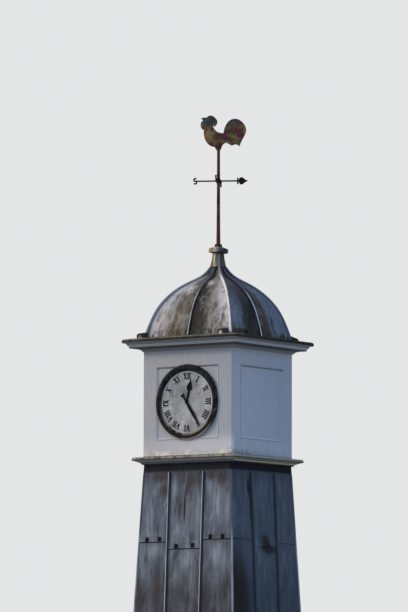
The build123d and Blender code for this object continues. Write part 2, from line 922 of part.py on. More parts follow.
def bird_body():
    # oval sections from the crown of the head down the neck and back to the root of the tail
    sections = (
        (-0.215, 0.72, 90, 0.045, 0.022),
        (-0.22, 0.66, 90, 0.085, 0.05),
        (-0.215, 0.52, 92, 0.1, 0.062),
        (-0.195, 0.4, 72, 0.135, 0.08),
        (-0.12, 0.265, 30, 0.17, 0.098),
        (0.03, 0.24, 0, 0.148, 0.088),
        (0.13, 0.27, -8, 0.11, 0.045),
        (0.22, 0.3, -8, 0.075, 0.012),
    )
    ovals = []
    for along, up, lean, height, width in sections:
        way = Vector(cos(radians(lean)), 0, -sin(radians(lean)))
        place = Plane(origin=(along * bird_length, 0, up * bird_length), x_dir=(0, 1, 0), z_dir=way)
        ovals.append(place * Ellipse(width * bird_length, height * bird_length))
    body = loft(ovals)
    wattle = scale(Sphere(0.068 * bird_length), by=(1, 0.35, 1.5))
    return body + Pos(-0.325 * bird_length, 0, 0.555 * bird_length) * wattle


def weathercock():
    socket = cylinder(socket_radius, 0, spindle_height + socket_radius)
    bird = bird_body() + bird_plate() + socket
    bird = Pos(0, 0, rod_head + end_gap) * bird
    bore = cylinder(spindle_radius + running_gap, rod_head - margin, rod_head + spindle_height + end_gap)
    bird = bird - bore
    save("weathercock", Rot(0, 0, vane_heading - 180) * bird)


def clock_rod(radius, inner, outer):
    # a cylinder on the clock's axis, between two distances out from the tower's axis
    rod = Rot(90, 0, 0) * Cylinder(radius, outer - inner, align=(Align.CENTER, Align.CENTER, Align.MIN))
    return Pos(0, -inner, clock_height) * rod


def bezel():
    # an outer round, a quirk, a bead and a hollow that falls to the dial
    low = dial_face
    high = dial_face + bezel_height
    rim = high - bezel_edge
    round_end = bezel_outer - 0.3 * bezel_width
    bead_start = round_end - 0.05 * bezel_width
    bead_end = bead_start - 0.34 * bezel_width
    foot = low + bezel_edge / 2
    outline = [
        Line((bezel_inner, low), (bezel_outer, low)),
        Line((bezel_outer, low), (bezel_outer, low + bezel_edge)),
        RadiusArc((bezel_outer, low + bezel_edge), (round_end, high - bezel_edge / 2), -0.34 * bezel_width),
        Line((round_end, high - bezel_edge / 2), (bead_start, rim)),
        ThreePointArc((bead_start, rim), ((bead_start + bead_end) / 2, high), (bead_end, rim)),
        RadiusArc((bead_end, rim), (bezel_inner, foot), 0.5 * bezel_width),
        Line((bezel_inner, foot), (bezel_inner, low)),
    ]
    face = make_face(Wire(outline))
    ring = revolve(face, axis=Axis.Y)
    return Pos(0, 0, clock_height) * (Rot(180, 0, 0) * ring)


def hand_blade(half_outline, inner, angle):
    # half of a hand's outline, mirrored on its own line, made a plate and turned to its hour
    half = make_face(Wire(half_outline))
    face = half + mirror(half, about=Plane.YZ)
    blade = extrude(Plane.XZ * face, amount=hand_thickness)
    return Pos(0, -inner, clock_height) * (Rot(0, angle, 0) * blade)


def hour_hand():
    low = dial_face + hand_gap
    stem = stem_width / 2
    spade = spade_width / 2
    spade_foot = 0.5 * hour_reach
    outline = [
        Line((0, 0), (stem, 0)),
        Line((stem, 0), (stem, spade_foot)),
        Spline(
            (stem, spade_foot),
            (spade, 0.6 * hour_reach),
            (0, hour_reach),
            tangents=[(1, 0.1), (-0.2, 1)],
        ),
        Line((0, hour_reach), (0, 0)),
    ]
    hand = hand_blade(outline, low, hour_angle)
    hand = hand + clock_rod(washer_radius, dial_face + end_gap, low + hand_thickness)
    panel_back = panel_face - panel_thickness
    pipe_end = panel_back - end_gap - collar_thickness
    hand = hand + clock_rod(pipe_radius, pipe_end, low)
    hand = hand + clock_rod(washer_radius, pipe_end, panel_back - end_gap)
    return hand - clock_rod(arbor_radius + running_gap, panel_back - margin, low + margin)


def minute_hand():
    low = dial_face + hand_gap + hand_thickness + hand_gap
    panel_back = panel_face - panel_thickness
    pipe_end = panel_back - end_gap - collar_thickness
    stem = stem_width / 2
    neck = 0.8 * stem
    tip = stem / 3
    horn = 2.2 * stem
    flare = 0.55 * minute_tail
    notch = minute_tail - stem
    outline = [
        Line((0, minute_reach), (tip, minute_reach - stem)),
        Spline(
            (tip, minute_reach - stem),
            (stem, 0.7 * minute_reach),
            (1.3 * stem, 0.28 * minute_reach),
            (neck, 0),
        ),
        Line((neck, 0), (neck, -flare)),
        ThreePointArc((neck, -flare), (0.75 * horn, -0.8 * minute_tail), (horn, -minute_tail)),
        ThreePointArc((horn, -minute_tail), (horn / 2, -notch - 0.3 * stem), (0, -notch)),
        Line((0, -notch), (0, minute_reach)),
    ]
    hand = hand_blade(outline, low, minute_angle)
    cap_end = low + 2 * hand_thickness
    hand = hand + clock_rod(0.8 * washer_radius, low - hand_gap + end_gap, cap_end)
    nut_end = pipe_end - end_gap
    hand = hand + clock_rod(arbor_radius, nut_end - collar_thickness, low)
    return hand + clock_rod(pipe_radius, nut_end - collar_thickness, nut_end)


def clock():
    dial = clock_rod(dial_radius, panel_face, dial_face)
    dial = dial - clock_rod(pipe_radius + running_gap, panel_face - margin, dial_face + margin)
    save("clock_dial", dial)
    save("clock_bezel", bezel())
    save("hour_hand", hour_hand())
    save("minute_hand", minute_hand())


base()
lower_cornice()
stage()
upper_cornice()
dome()
neck()
cap()
save("vane_rod", vane_rod())
compass()
weathercock()
clock()
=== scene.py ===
import bpy
import json
import math
from mathutils import Matrix, Vector


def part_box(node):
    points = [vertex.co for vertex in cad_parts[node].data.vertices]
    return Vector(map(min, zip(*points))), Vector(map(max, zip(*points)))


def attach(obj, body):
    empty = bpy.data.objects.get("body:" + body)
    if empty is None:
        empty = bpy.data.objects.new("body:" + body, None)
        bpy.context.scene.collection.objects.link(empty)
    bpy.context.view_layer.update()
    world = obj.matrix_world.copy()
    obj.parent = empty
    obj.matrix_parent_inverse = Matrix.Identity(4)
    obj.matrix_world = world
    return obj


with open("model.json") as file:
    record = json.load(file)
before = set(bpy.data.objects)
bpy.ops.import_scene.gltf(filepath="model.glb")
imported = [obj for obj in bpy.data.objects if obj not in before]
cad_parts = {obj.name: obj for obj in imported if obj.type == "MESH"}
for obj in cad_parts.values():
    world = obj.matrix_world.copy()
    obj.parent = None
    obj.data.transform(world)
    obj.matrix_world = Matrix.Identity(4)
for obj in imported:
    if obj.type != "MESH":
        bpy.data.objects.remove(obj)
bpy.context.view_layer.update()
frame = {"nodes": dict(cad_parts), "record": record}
nodes = frame["nodes"]

# places read off the CAD nodes, so that finishes and new pieces follow them
dialLow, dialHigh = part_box("clock_dial")
clockHeight = (dialLow.z + dialHigh.z) / 2
dialFace = dialLow.y
dialRadius = dialHigh.x
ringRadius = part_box("clock_bezel")[1].x
stageFoot, stageHead = (corner.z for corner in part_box("stage_frame_front"))
stageMiddle = (stageFoot + stageHead) / 2
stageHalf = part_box("stage_frame_front")[1].x
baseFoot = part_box("base_boarding_front")[1].x
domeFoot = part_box("dome_lead")[0].z
neckFoot, neckHead = (corner.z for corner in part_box("neck_sleeve"))
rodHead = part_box("weathercock")[0].z


def deselect():
    bpy.ops.object.select_all(action="DESELECT")


def makeActive(obj):
    deselect()
    obj.select_set(True)
    bpy.context.view_layer.objects.active = obj


def settle(obj, place=(0, 0, 0), turned=(0, 0, 0)):
    # puts a piece in its place, and the place in its mesh
    obj.location = place
    obj.rotation_euler = turned
    makeActive(obj)
    bpy.ops.object.transform_apply(location=True, rotation=True, scale=True)


def copyOf(obj):
    # a copy with a mesh of its own
    makeActive(obj)
    bpy.ops.object.duplicate(linked=False)
    return bpy.context.object


def joinAll(objs, name):
    deselect()
    for obj in objs:
        obj.select_set(True)
    bpy.context.view_layer.objects.active = objs[0]
    if len(objs) > 1:
        bpy.ops.object.join()
    whole = bpy.context.view_layer.objects.active
    whole.name = name
    whole.data.name = name
    return whole


def remove(obj):
    makeActive(obj)
    bpy.ops.object.delete()


def enterEdit():
    bpy.ops.object.mode_set(mode="EDIT")


def leaveEdit():
    bpy.ops.object.mode_set(mode="OBJECT")


def editFaces(obj, wanted):
    # into edit mode with only the wanted faces selected
    makeActive(obj)
    enterEdit()
    bpy.ops.mesh.select_mode(type="FACE")
    bpy.ops.mesh.select_all(action="DESELECT")
    leaveEdit()
    for face in obj.data.polygons:
        face.select = wanted(face)
    enterEdit()


def extrude(way):
    bpy.ops.mesh.extrude_region_move(TRANSFORM_OT_translate={"value": way})


def soften(obj, width, segments):
    makeActive(obj)
    edge = obj.modifiers.new("edge", "BEVEL")
    edge.width = width
    edge.segments = segments
    bpy.ops.object.modifier_apply(modifier="edge")


def putMaterial(obj, mat):
    obj.data.materials.clear()
    obj.data.materials.append(mat)


def addNode(tree, kind, links=(), **settings):
    # a shader node; a socket among its inputs is linked, a value is set
    node = tree.nodes.new("ShaderNode" + kind)
    for key, value in settings.items():
        setattr(node, key, value)
    for socket, value in dict(links).items():
        if isinstance(value, bpy.types.NodeSocket):
            tree.links.new(value, node.inputs[socket])
        else:
            node.inputs[socket].default_value = value
    return node


class Finish:
    # a material built up step by step on Object coordinates
    def __init__(self, name, roughness, specular):
        self.mat = bpy.data.materials.new(name)
        self.mat.use_nodes = True
        self.tree = self.mat.node_tree
        self.shader = self.tree.nodes["Principled BSDF"]
        self.shader.inputs["Roughness"].default_value = roughness
        self.shader.inputs["Specular IOR Level"].default_value = specular
        self.place = self.add("TexCoord").outputs["Object"]

    def add(self, kind, links=(), **settings):
        return addNode(self.tree, kind, links, **settings)

    def noise(self, scale, stretch=(1, 1, 1), detail=5, rough=0.55, move=(0, 0, 0), warp=0.0):
        mapped = self.add("Mapping", {"Vector": self.place, "Scale": stretch, "Location": move})
        links = {"Vector": mapped.outputs[0], "Scale": scale, "Detail": detail}
        links.update({"Roughness": rough, "Distortion": warp})
        return self.add("TexNoise", links).outputs["Fac"]

    def reach(self, value, low, high, start=0.0, end=1.0):
        # goes softly from start to end while the value goes from low to high
        links = {0: value, 1: low, 2: high, 3: start, 4: end}
        return self.add("MapRange", links, interpolation_type="SMOOTHSTEP").outputs[0]

    def rise(self, level, ends, start=0.0, end=1.0):
        # the same up the tower, between two heights over a level
        return self.reach(self.axis("Z"), level + ends[0], level + ends[1], start, end)

    def reckon(self, a, way, b, clamp=False):
        return self.add("Math", {0: a, 1: b}, operation=way, use_clamp=clamp).outputs[0]

    def times(self, first, *others):
        for other in others:
            first = self.reckon(first, "MULTIPLY", other)
        return first

    def axis(self, name):
        return self.add("SeparateXYZ", {0: self.place}).outputs[name]

    def aside(self, name):
        # how far from the tower's middle, whichever way
        return self.reckon(self.axis(name), "ABSOLUTE", 0.0)

    def outwards(self):
        return self.reckon(self.aside("X"), "MAXIMUM", self.aside("Y"))

    def along(self, direction):
        # how far a point lies along a direction through the tower's axis
        links = {0: self.place, 1: direction}
        return self.add("VectorMath", links, operation="DOT_PRODUCT").outputs["Value"]

    def vectors(self, a, way, b=(0, 0, 0)):
        node = self.add("VectorMath", {0: a, 1: b}, operation=way)
        return node.outputs["Value" if way == "LENGTH" else "Vector"]

    def mix(self, amount, a, b):
        a, b = ((*value, 1.0) if isinstance(value, tuple) else value for value in (a, b))
        return self.add("Mix", {0: amount, 6: a, 7: b}, data_type="RGBA").outputs[2]

    def lay(self, colour, value, low, high, tone, most=1.0):
        # a tone over the colour, more of it as the value goes from low to high
        return self.mix(self.reach(value, low, high, 0.0, most), colour, tone)

    def ramp(self, value, low, high, stops):
        # colours at places between low and high
        share = self.add("MapRange", {0: value, 1: low, 2: high}).outputs[0]
        node = self.add("ValToRGB", {0: share})
        band = node.color_ramp
        band.interpolation = "EASE"
        for index, (at, rgb) in enumerate(stops):
            part = (at - low) / (high - low)
            element = band.elements[index] if index < 2 else band.elements.new(part)
            element.position = part
            element.color = (*rgb, 1.0)
        return node.outputs["Color"]

    def grey(self, value):
        # a number as a grey colour, so that two numbers can be mixed
        return self.add("CombineColor", {0: value, 1: value, 2: value}).outputs[0]

    def spot(self, centre, size, edge=0.1):
        # one in the middle of a place on the object, nought outside its size
        away = self.vectors(self.place, "SUBTRACT", centre)
        far = self.vectors(self.vectors(away, "DIVIDE", size), "LENGTH")
        return self.reach(far, edge, 1.0, 1.0, 0.0)

    def spots(self, places):
        whole = self.spot(*places[0])
        for place in places[1:]:
            whole = self.reckon(whole, "ADD", self.spot(*place), clamp=True)
        return whole

    def paint(self, colour, bumps=(), roughness=None):
        self.tree.links.new(colour, self.shader.inputs["Base Color"])
        if roughness is not None:
            self.tree.links.new(roughness, self.shader.inputs["Roughness"])
        before = None
        for height, depth in bumps:
            links = {"Height": height, "Distance": depth}
            if before:
                links["Normal"] = before
            before = self.add("Bump", links).outputs["Normal"]
        if before:
            self.tree.links.new(before, self.shader.inputs["Normal"])
        return self.mat


cameraSet = {
    "place": (35.875, -51.449, -1.638),
    "round": 35.06,
    "upward": 5.43,
    "roll": 0.14,
    "lens": 279.2,
    "far": 400.0,
}


def makeCamera():
    bpy.ops.object.camera_add(location=cameraSet["place"])
    camera = bpy.context.object
    turned = Matrix.Rotation(math.radians(cameraSet["round"]), 3, "Z")
    raised = Matrix.Rotation(math.radians(90 + cameraSet["upward"]), 3, "X")
    rolled = Matrix.Rotation(math.radians(cameraSet["roll"]), 3, "Z")
    camera.rotation_euler = (turned @ raised @ rolled).to_euler()
    camera.data.lens = cameraSet["lens"]
    camera.data.clip_end = cameraSet["far"]
    bpy.context.scene.camera = camera
    print("camera made")


lightSet = {
    "sunPlace": (-6, -4, 9),
    "sunFrom": (-0.72, -0.56, 0.42),
    "sunPower": 1.75,
    "sunSpread": 16.0,
    "sunColour": (1.0, 0.83, 0.58),
    "leftSky": (0.7, 0.69, 0.74),
    "rightSky": (0.58, 0.8, 1.22),
    "underSky": (0.3, 0.31, 0.33),
    "across": (-0.6, 0.6),  # where the left sky turns into the right one
    "upward": (-0.25, 0.15),
    "skyPower": 1.0,
    "background": (0.78, 0.785, 0.79),
}


def makeSun():
    bpy.ops.object.light_add(type="SUN", location=lightSet["sunPlace"])
    sun = bpy.context.object
    sun.name = "sun"
    sun.rotation_euler = Vector(lightSet["sunFrom"]).to_track_quat("Z", "Y").to_euler()
    sun.data.energy = lightSet["sunPower"]
    sun.data.angle = math.radians(lightSet["sunSpread"])
    sun.data.color = lightSet["sunColour"]
    print("sun made")


def makeSky():
    # a cool sky on the right, a paler one on the left, darker from below
    world = bpy.data.worlds.new("studio")
    bpy.context.scene.world = world
    world.use_nodes = True
    tree = world.node_tree
    tree.nodes.clear()
    left, right, under, behind = (
        (*lightSet[name], 1.0) for name in ("leftSky", "rightSky", "underSky", "background")
    )
    way = addNode(tree, "TexCoord").outputs["Generated"]
    parts = addNode(tree, "SeparateXYZ", {0: way}).outputs

    def share(axis, ends):
        return addNode(tree, "MapRange", {0: parts[axis], 1: ends[0], 2: ends[1]}).outputs[0]

    across = {0: share("X", lightSet["across"]), 6: left, 7: right}
    level = addNode(tree, "Mix", across, data_type="RGBA").outputs[2]
    upward = {0: share("Z", lightSet["upward"]), 6: under, 7: level}
    whole = addNode(tree, "Mix", upward, data_type="RGBA").outputs[2]
    sky = addNode(tree, "Background", {"Color": whole, "Strength": lightSet["skyPower"]})
    back = addNode(tree, "Background", {"Color": behind})
    path = addNode(tree, "LightPath").outputs
    seen = path["Is Camera Ray"]
    for name in ("Is Transmission Ray", "Is Glossy Ray"):
        seen = addNode(tree, "Math", {0: seen, 1: path[name]}, operation="MAXIMUM").outputs[0]
    shown = addNode(tree, "MixShader", {0: seen, 1: sky.outputs[0], 2: back.outputs[0]})
    addNode(tree, "OutputWorld", {"Surface": shown.outputs[0]})
    bpy.context.scene.view_settings.view_transform = "Standard"
    print("sky made")


floorSet = {"radius": 6.0, "sides": 96, "pale": (0.62, 0.62, 0.62), "darker": 0.97, "clouds": 3.0}


def makeFloor():
    sides, radius = floorSet["sides"], floorSet["radius"]
    bpy.ops.mesh.primitive_circle_add(vertices=sides, radius=radius, fill_type="NGON")
    floor = bpy.context.object
    floor.name = "studioFloor"
    look = Finish("floorPaper", roughness=0.9, specular=0.2)
    pale = floorSet["pale"]
    darker = tuple(part * floorSet["darker"] for part in pale)
    putMaterial(floor, look.paint(look.mix(look.noise(floorSet["clouds"]), pale, darker)))
    print("floor made")


whiteSet = {
    # heights over the stage's foot, sideHigh and headUp over its head
    "sideLow": (0.12, 0.4),
    "paintedLightUp": (0.44, 0.2),
    "lichenUp": (0.21, 0.11),
    "dripUp": (0.2, 0.12),
    "footUp": (0.135, 0.105),
    "flakesUp": 0.13,
    "sideHigh": (-0.12, -0.35),
    "headUp": (-0.26, -0.12),
    "flakesSize": (0.17, 0.1, 0.09),
    "shade": (0.335, 0.345, 0.36),
    "light": (0.385, 0.39, 0.395),
    "dirtAndShade": (0.24, 0.25, 0.27),
    "clean": (0.46, 0.46, 0.465),
    "brushDark": (0.21, 0.22, 0.245),
    "brushPale": (0.5, 0.5, 0.505),
    # painted shade: bluer and darker towards the right edge, and over the right side
    "turned": (0.27, 0.31, 0.36),
    "side": (0.22, 0.255, 0.3),
    # painted light along the foot of the front
    "paintedLight": (0.56, 0.55, 0.56),
    "lichen": (0.78, 0.73, 0.6),
    "drip": (0.045, 0.06, 0.055),
    "sideFoot": (0.18, 0.17, 0.13),
    # painted light, brightest, at the very foot of the front
    "frontFoot": (0.82, 0.8, 0.74),
    "flake": (0.88, 0.84, 0.76),
    "bare": (0.1, 0.085, 0.07),
    # painted shade under the upper cornice
    "head": (0.22, 0.24, 0.27),
}


def whitePaint():
    look = Finish("whitePaint", roughness=0.55, specular=0.12)
    tones = whiteSet
    x, y = look.axis("X"), look.axis("Y")
    clouds = look.noise(1.7, (1, 1, 0.8), detail=5)
    streaks = look.noise(9.0, (3.6, 3.6, 0.3), detail=6, rough=0.62)
    brushed = look.noise(24.0, (4, 4, 0.16), detail=5, rough=0.6, move=(1, 3, 2))
    grain = look.noise(60.0, (3, 3, 0.5), detail=4)
    front = look.reach(y, -0.6, -0.68)
    right = look.reach(x, 0.69, 0.7)

    # streaks and brush marks, shade on the right side
    colour = look.mix(clouds, tones["shade"], tones["light"])
    colour = look.lay(colour, streaks, 0.52, 0.74, tones["dirtAndShade"], 0.45)
    colour = look.lay(colour, streaks, 0.46, 0.28, tones["clean"], 0.4)
    colour = look.lay(colour, brushed, 0.55, 0.7, tones["brushDark"], 0.3)
    colour = look.lay(colour, brushed, 0.43, 0.3, tones["brushPale"], 0.3)
    colour = look.lay(colour, x, -0.2, 0.72, tones["turned"], 0.38)
    side = look.times(
        look.reach(x, 0.6, 0.68), look.reach(y, -0.7, 0.7, 0.08, 0.6),
        look.rise(stageFoot, tones["sideLow"]), look.rise(stageHead, tones["sideHigh"], 0.3, 1.0),
    )
    colour = look.mix(side, colour, tones["side"])

    # the foot: painted light along the front, lichen in front, green drips round on the right
    paintedLight = look.times(look.rise(stageFoot, tones["paintedLightUp"]), look.reach(x, -0.7, 0.3, 0.45, 0.85))
    colour = look.mix(look.times(front, paintedLight), colour, tones["paintedLight"])
    patches = look.reach(look.noise(11.0, detail=6), 0.46, 0.62)
    lichen = look.times(look.rise(stageFoot, tones["lichenUp"]), patches, front)
    colour = look.mix(lichen, colour, tones["lichen"])
    drips = look.reach(look.noise(30.0, (1, 1, 0.5), detail=7), 0.5, 0.6)
    drips = look.times(drips, look.rise(stageFoot, tones["dripUp"]), right, look.reach(y, 0.05, -0.35))
    colour = look.mix(drips, colour, tones["drip"])
    low = look.rise(stageFoot, tones["footUp"])
    colour = look.mix(look.times(low, right, 0.55), colour, tones["sideFoot"])
    # painted light in patches at the very foot of the front
    footLightPatches = look.reach(patches, 0.1, 0.6, 0.4, 0.85)
    colour = look.mix(look.times(low, front, footLightPatches), colour, tones["frontFoot"])

    # flakes at the near corner, a little shade under the upper cornice
    nearCorner = (stageHalf, -stageHalf, stageFoot + tones["flakesUp"])
    corner = look.spot(nearCorner, tones["flakesSize"], 0.2)
    flakes = look.noise(44.0, detail=5, move=(1, 1, 2))
    colour = look.mix(look.times(corner, look.reach(flakes, 0.46, 0.4)), colour, tones["flake"])
    colour = look.mix(look.times(corner, look.reach(flakes, 0.53, 0.57)), colour, tones["bare"])
    head = look.rise(stageHead, tones["headUp"], 0.0, 0.2)
    colour = look.mix(look.times(head, front), colour, tones["head"])
    rough = look.reach(clouds, 0.3, 0.7, 0.45, 0.62)
    return look.paint(colour, ((grain, 0.0005), (streaks, 0.001)), rough)


beadSet = {
    "quirk": (0.7068, 0.703),  # from the bead's crest into its quirk, out from the middle
    "upper": (0.43, 0.46),  # above the clock's middle, where the upper length lies
    "shade": (0.31, 0.32, 0.335),
    "light": (0.385, 0.39, 0.395),
    # painted shade on the right side
    "right": (0.25, 0.285, 0.33),
    # painted light in the quirks, softening their shading
    "wornAndLit": (0.6, 0.61, 0.63),
    "dirtAndShade": (0.06, 0.06, 0.07),
}


def mouldingPaint():
    # the bead round each panel: painted light in its quirks, less on the right side, painted shade on
    # the right side, and darker in the quirks of its upper length
    look = Finish("mouldingPaint", roughness=0.55, specular=0.12)
    tones = beadSet
    x = look.axis("X")
    colour = look.mix(look.noise(12.0, detail=6), tones["shade"], tones["light"])
    colour = look.lay(colour, x, 0.6, 0.7, tones["right"], 0.6)
    quirk = look.reach(look.outwards(), *tones["quirk"])
    top = look.rise(clockHeight, tones["upper"], 0.08, 0.75)
    colour = look.mix(look.times(quirk, look.reach(x, 0.6, 0.7, 0.6, 0.3)), colour, tones["wornAndLit"])
    return look.paint(look.mix(look.times(quirk, top), colour, tones["dirtAndShade"]))


corniceBands = {
    # tones up each profile, in metres from the stage's foot and from its head: the paint and moss tones
    # with painted light on the faces and painted shade and shadow lines under the projections
    "lowerFront": (
        (-0.001, (0.004, 0.004, 0.004)), (0.006, (0.006, 0.006, 0.006)), (0.009, (0.14, 0.14, 0.14)),
        (0.017, (0.13, 0.13, 0.13)), (0.021, (0.085, 0.09, 0.095)), (0.03, (0.1, 0.105, 0.115)),
        (0.033, (0.27, 0.28, 0.295)), (0.04, (0.24, 0.25, 0.265)), (0.044, (0.35, 0.35, 0.365)),
        (0.055, (0.35, 0.35, 0.365)), (0.059, (0.02, 0.018, 0.016)), (0.075, (0.02, 0.018, 0.016)),
    ),
    "lowerRight": (
        (-0.001, (0.003, 0.004, 0.004)), (0.006, (0.005, 0.006, 0.006)), (0.009, (0.06, 0.065, 0.05)),
        (0.016, (0.09, 0.1, 0.075)), (0.021, (0.42, 0.43, 0.29)), (0.032, (0.44, 0.45, 0.31)),
        (0.036, (0.11, 0.1, 0.065)), (0.042, (0.11, 0.1, 0.065)), (0.046, (0.4, 0.345, 0.2)),
        (0.055, (0.4, 0.345, 0.2)), (0.059, (0.05, 0.045, 0.03)), (0.075, (0.05, 0.045, 0.03)),
    ),
    "upper": (
        (-0.096, (0.19, 0.19, 0.195)), (-0.076, (0.165, 0.165, 0.165)), (-0.056, (0.125, 0.122, 0.118)),
        (-0.049, (0.11, 0.105, 0.1)), (-0.045, (0.05, 0.045, 0.04)), (-0.036, (0.05, 0.045, 0.04)),
        (-0.03, (0.29, 0.305, 0.315)), (-0.006, (0.32, 0.34, 0.35)), (0.0, (0.19, 0.195, 0.195)),
        (0.018, (0.165, 0.165, 0.16)), (0.03, (0.1, 0.095, 0.085)),
    ),
    "wornAndLit": (0.06, 0.055, 0.045),
    "grime": (0.05, 0.05, 0.035),
}


def cornicePaint():
    look = Finish("cornicePaint", roughness=0.65, specular=0.05)
    height = look.axis("Z")
    streaks = look.noise(14.0, (3, 3, 0.6), detail=6, rough=0.6)
    grime = look.noise(30.0, detail=5)

    def banded(name, level):
        bands = corniceBands[name]
        return look.ramp(look.reckon(height, "SUBTRACT", level), bands[0][0], bands[-1][0], bands)

    right = look.reach(look.along((0.7, 0.7, 0)), 0.02, 0.05)
    lower = look.mix(right, banded("lowerFront", stageFoot), banded("lowerRight", stageFoot))
    upper = look.reckon(height, "GREATER_THAN", stageMiddle)
    colour = look.mix(upper, lower, banded("upper", stageHead))
    wornAndLit = look.mix(0.5, colour, corniceBands["wornAndLit"])
    colour = look.lay(colour, streaks, 0.54, 0.76, wornAndLit, 0.5)
    colour = look.lay(colour, grime, 0.6, 0.7, corniceBands["grime"], 0.35)
    return look.paint(colour, ((grime, 0.0008), (streaks, 0.0006)))


leadSet = {
    # stains and painted shade: place, half size and, for some, how far their middle stays full
    "brownStains": (
        ((-0.44, -0.72, 2.02), (0.19, 0.4, 0.1)),
        ((-0.36, -0.73, 1.86), (0.13, 0.4, 0.16)),
        ((0.06, -0.72, 1.96), (0.16, 0.4, 0.12)),
        ((0.38, -0.72, 2.03), (0.09, 0.4, 0.1), 0.3),
        ((0.56, -0.72, 1.98), (0.12, 0.4, 0.17), 0.2),
        ((0.67, -0.78, 0.62), (0.06, 0.4, 0.36)),
    ),
    "rustStains": (
        ((-0.025, -0.73, 1.6), (0.026, 0.4, 0.3), 0.4),
        ((0.0, -0.73, 1.85), (0.03, 0.4, 0.12)),
    ),
    "blackStainsAndShade": (
        ((0.71, -0.325, 1.88), (0.4, 0.045, 0.2)),
        ((0.71, -0.285, 1.72), (0.4, 0.028, 0.4)),
        ((0.75, 0.02, 1.18), (0.4, 0.17, 0.16)),
        ((0.75, 0.1, 1.08), (0.4, 0.26, 0.1)),
        # painted shade of the roof corner, low on the right side
        ((0.78, -0.68, 0.35), (0.4, 0.44, 1.15), 0.35),
    ),
    "shadeStains": (
        ((-0.43, -0.76, 0.72), (0.11, 0.4, 0.48)),
        ((-0.1, -0.73, 1.62), (0.07, 0.4, 0.34)),
        ((0.33, -0.76, 0.4), (0.1, 0.4, 0.5)),
        ((-0.7, -0.78, 0.4), (0.1, 0.4, 0.4)),
        # painted shadow of the lower cornice, high in the middle bay
        ((0.2, -0.73, 2.0), (0.05, 0.4, 0.2)),
    ),
    "paleStains": (
        ((-0.58, -0.75, 1.46), (0.1, 0.4, 0.4)),
        ((-0.51, -0.76, 1.05), (0.17, 0.4, 0.16)),
        ((-0.2, -0.73, 1.9), (0.06, 0.4, 0.3)),
        ((0.02, -0.76, 0.93), (0.14, 0.4, 0.24)),
        ((0.08, -0.78, 0.6), (0.16, 0.4, 0.22)),
        ((0.19, -0.74, 1.55), (0.05, 0.4, 0.36)),
        ((0.5, -0.74, 1.66), (0.1, 0.4, 0.4)),
        ((0.5, -0.76, 1.02), (0.16, 0.4, 0.24)),
    ),
    "rolls": (-0.278, 0.268),  # x of the two on the front
    "laps": (1.175, 1.079, 1.195),  # height of the lap in each bay between them
    "lapEdge": 0.002,
    "footUp": (0.98, 0.5),
    "headUp": (1.86, 2.08),
    "deep": (0.074, 0.088, 0.107),
    "light": (0.135, 0.157, 0.185),
    "smearPale": (0.22, 0.25, 0.28),
    "smearDark": (0.045, 0.045, 0.05),
    "streakPale": (0.235, 0.265, 0.295),
    "streakDark": (0.035, 0.038, 0.045),
    "pale": (0.27, 0.3, 0.33),
    "brown": (0.05, 0.038, 0.032),
    "shade": (0.032, 0.032, 0.036),
    "foot": (0.042, 0.038, 0.04),
    # painted shade under the lower cornice
    "head": (0.04, 0.038, 0.042),
    "right": (0.026, 0.044, 0.062),
    "black": (0.008, 0.008, 0.009),
    "rust": (0.035, 0.018, 0.011),
    # painted shadow line under each lap
    "lap": (0.012, 0.012, 0.013),
    "specks": (0.04, 0.04, 0.045),
}


def lapLine(look):
    # the painted shadow line under the foot of each upper sheet on the front
    x = look.axis("X")
    low, middle, high = leadSet["laps"]
    left, right = leadSet["rolls"]
    edge = leadSet["lapEdge"]
    first = look.reach(x, left - edge, left + edge, low, middle)
    second = look.reach(x, right - edge, right + edge, 0.0, high - middle)
    above = look.reckon(look.axis("Z"), "SUBTRACT", look.reckon(first, "ADD", second))
    front = look.reach(look.axis("Y"), -0.6, -0.7)
    return look.times(look.reach(above, -0.02, -0.004), look.reach(above, 0.006, 0.001), front)


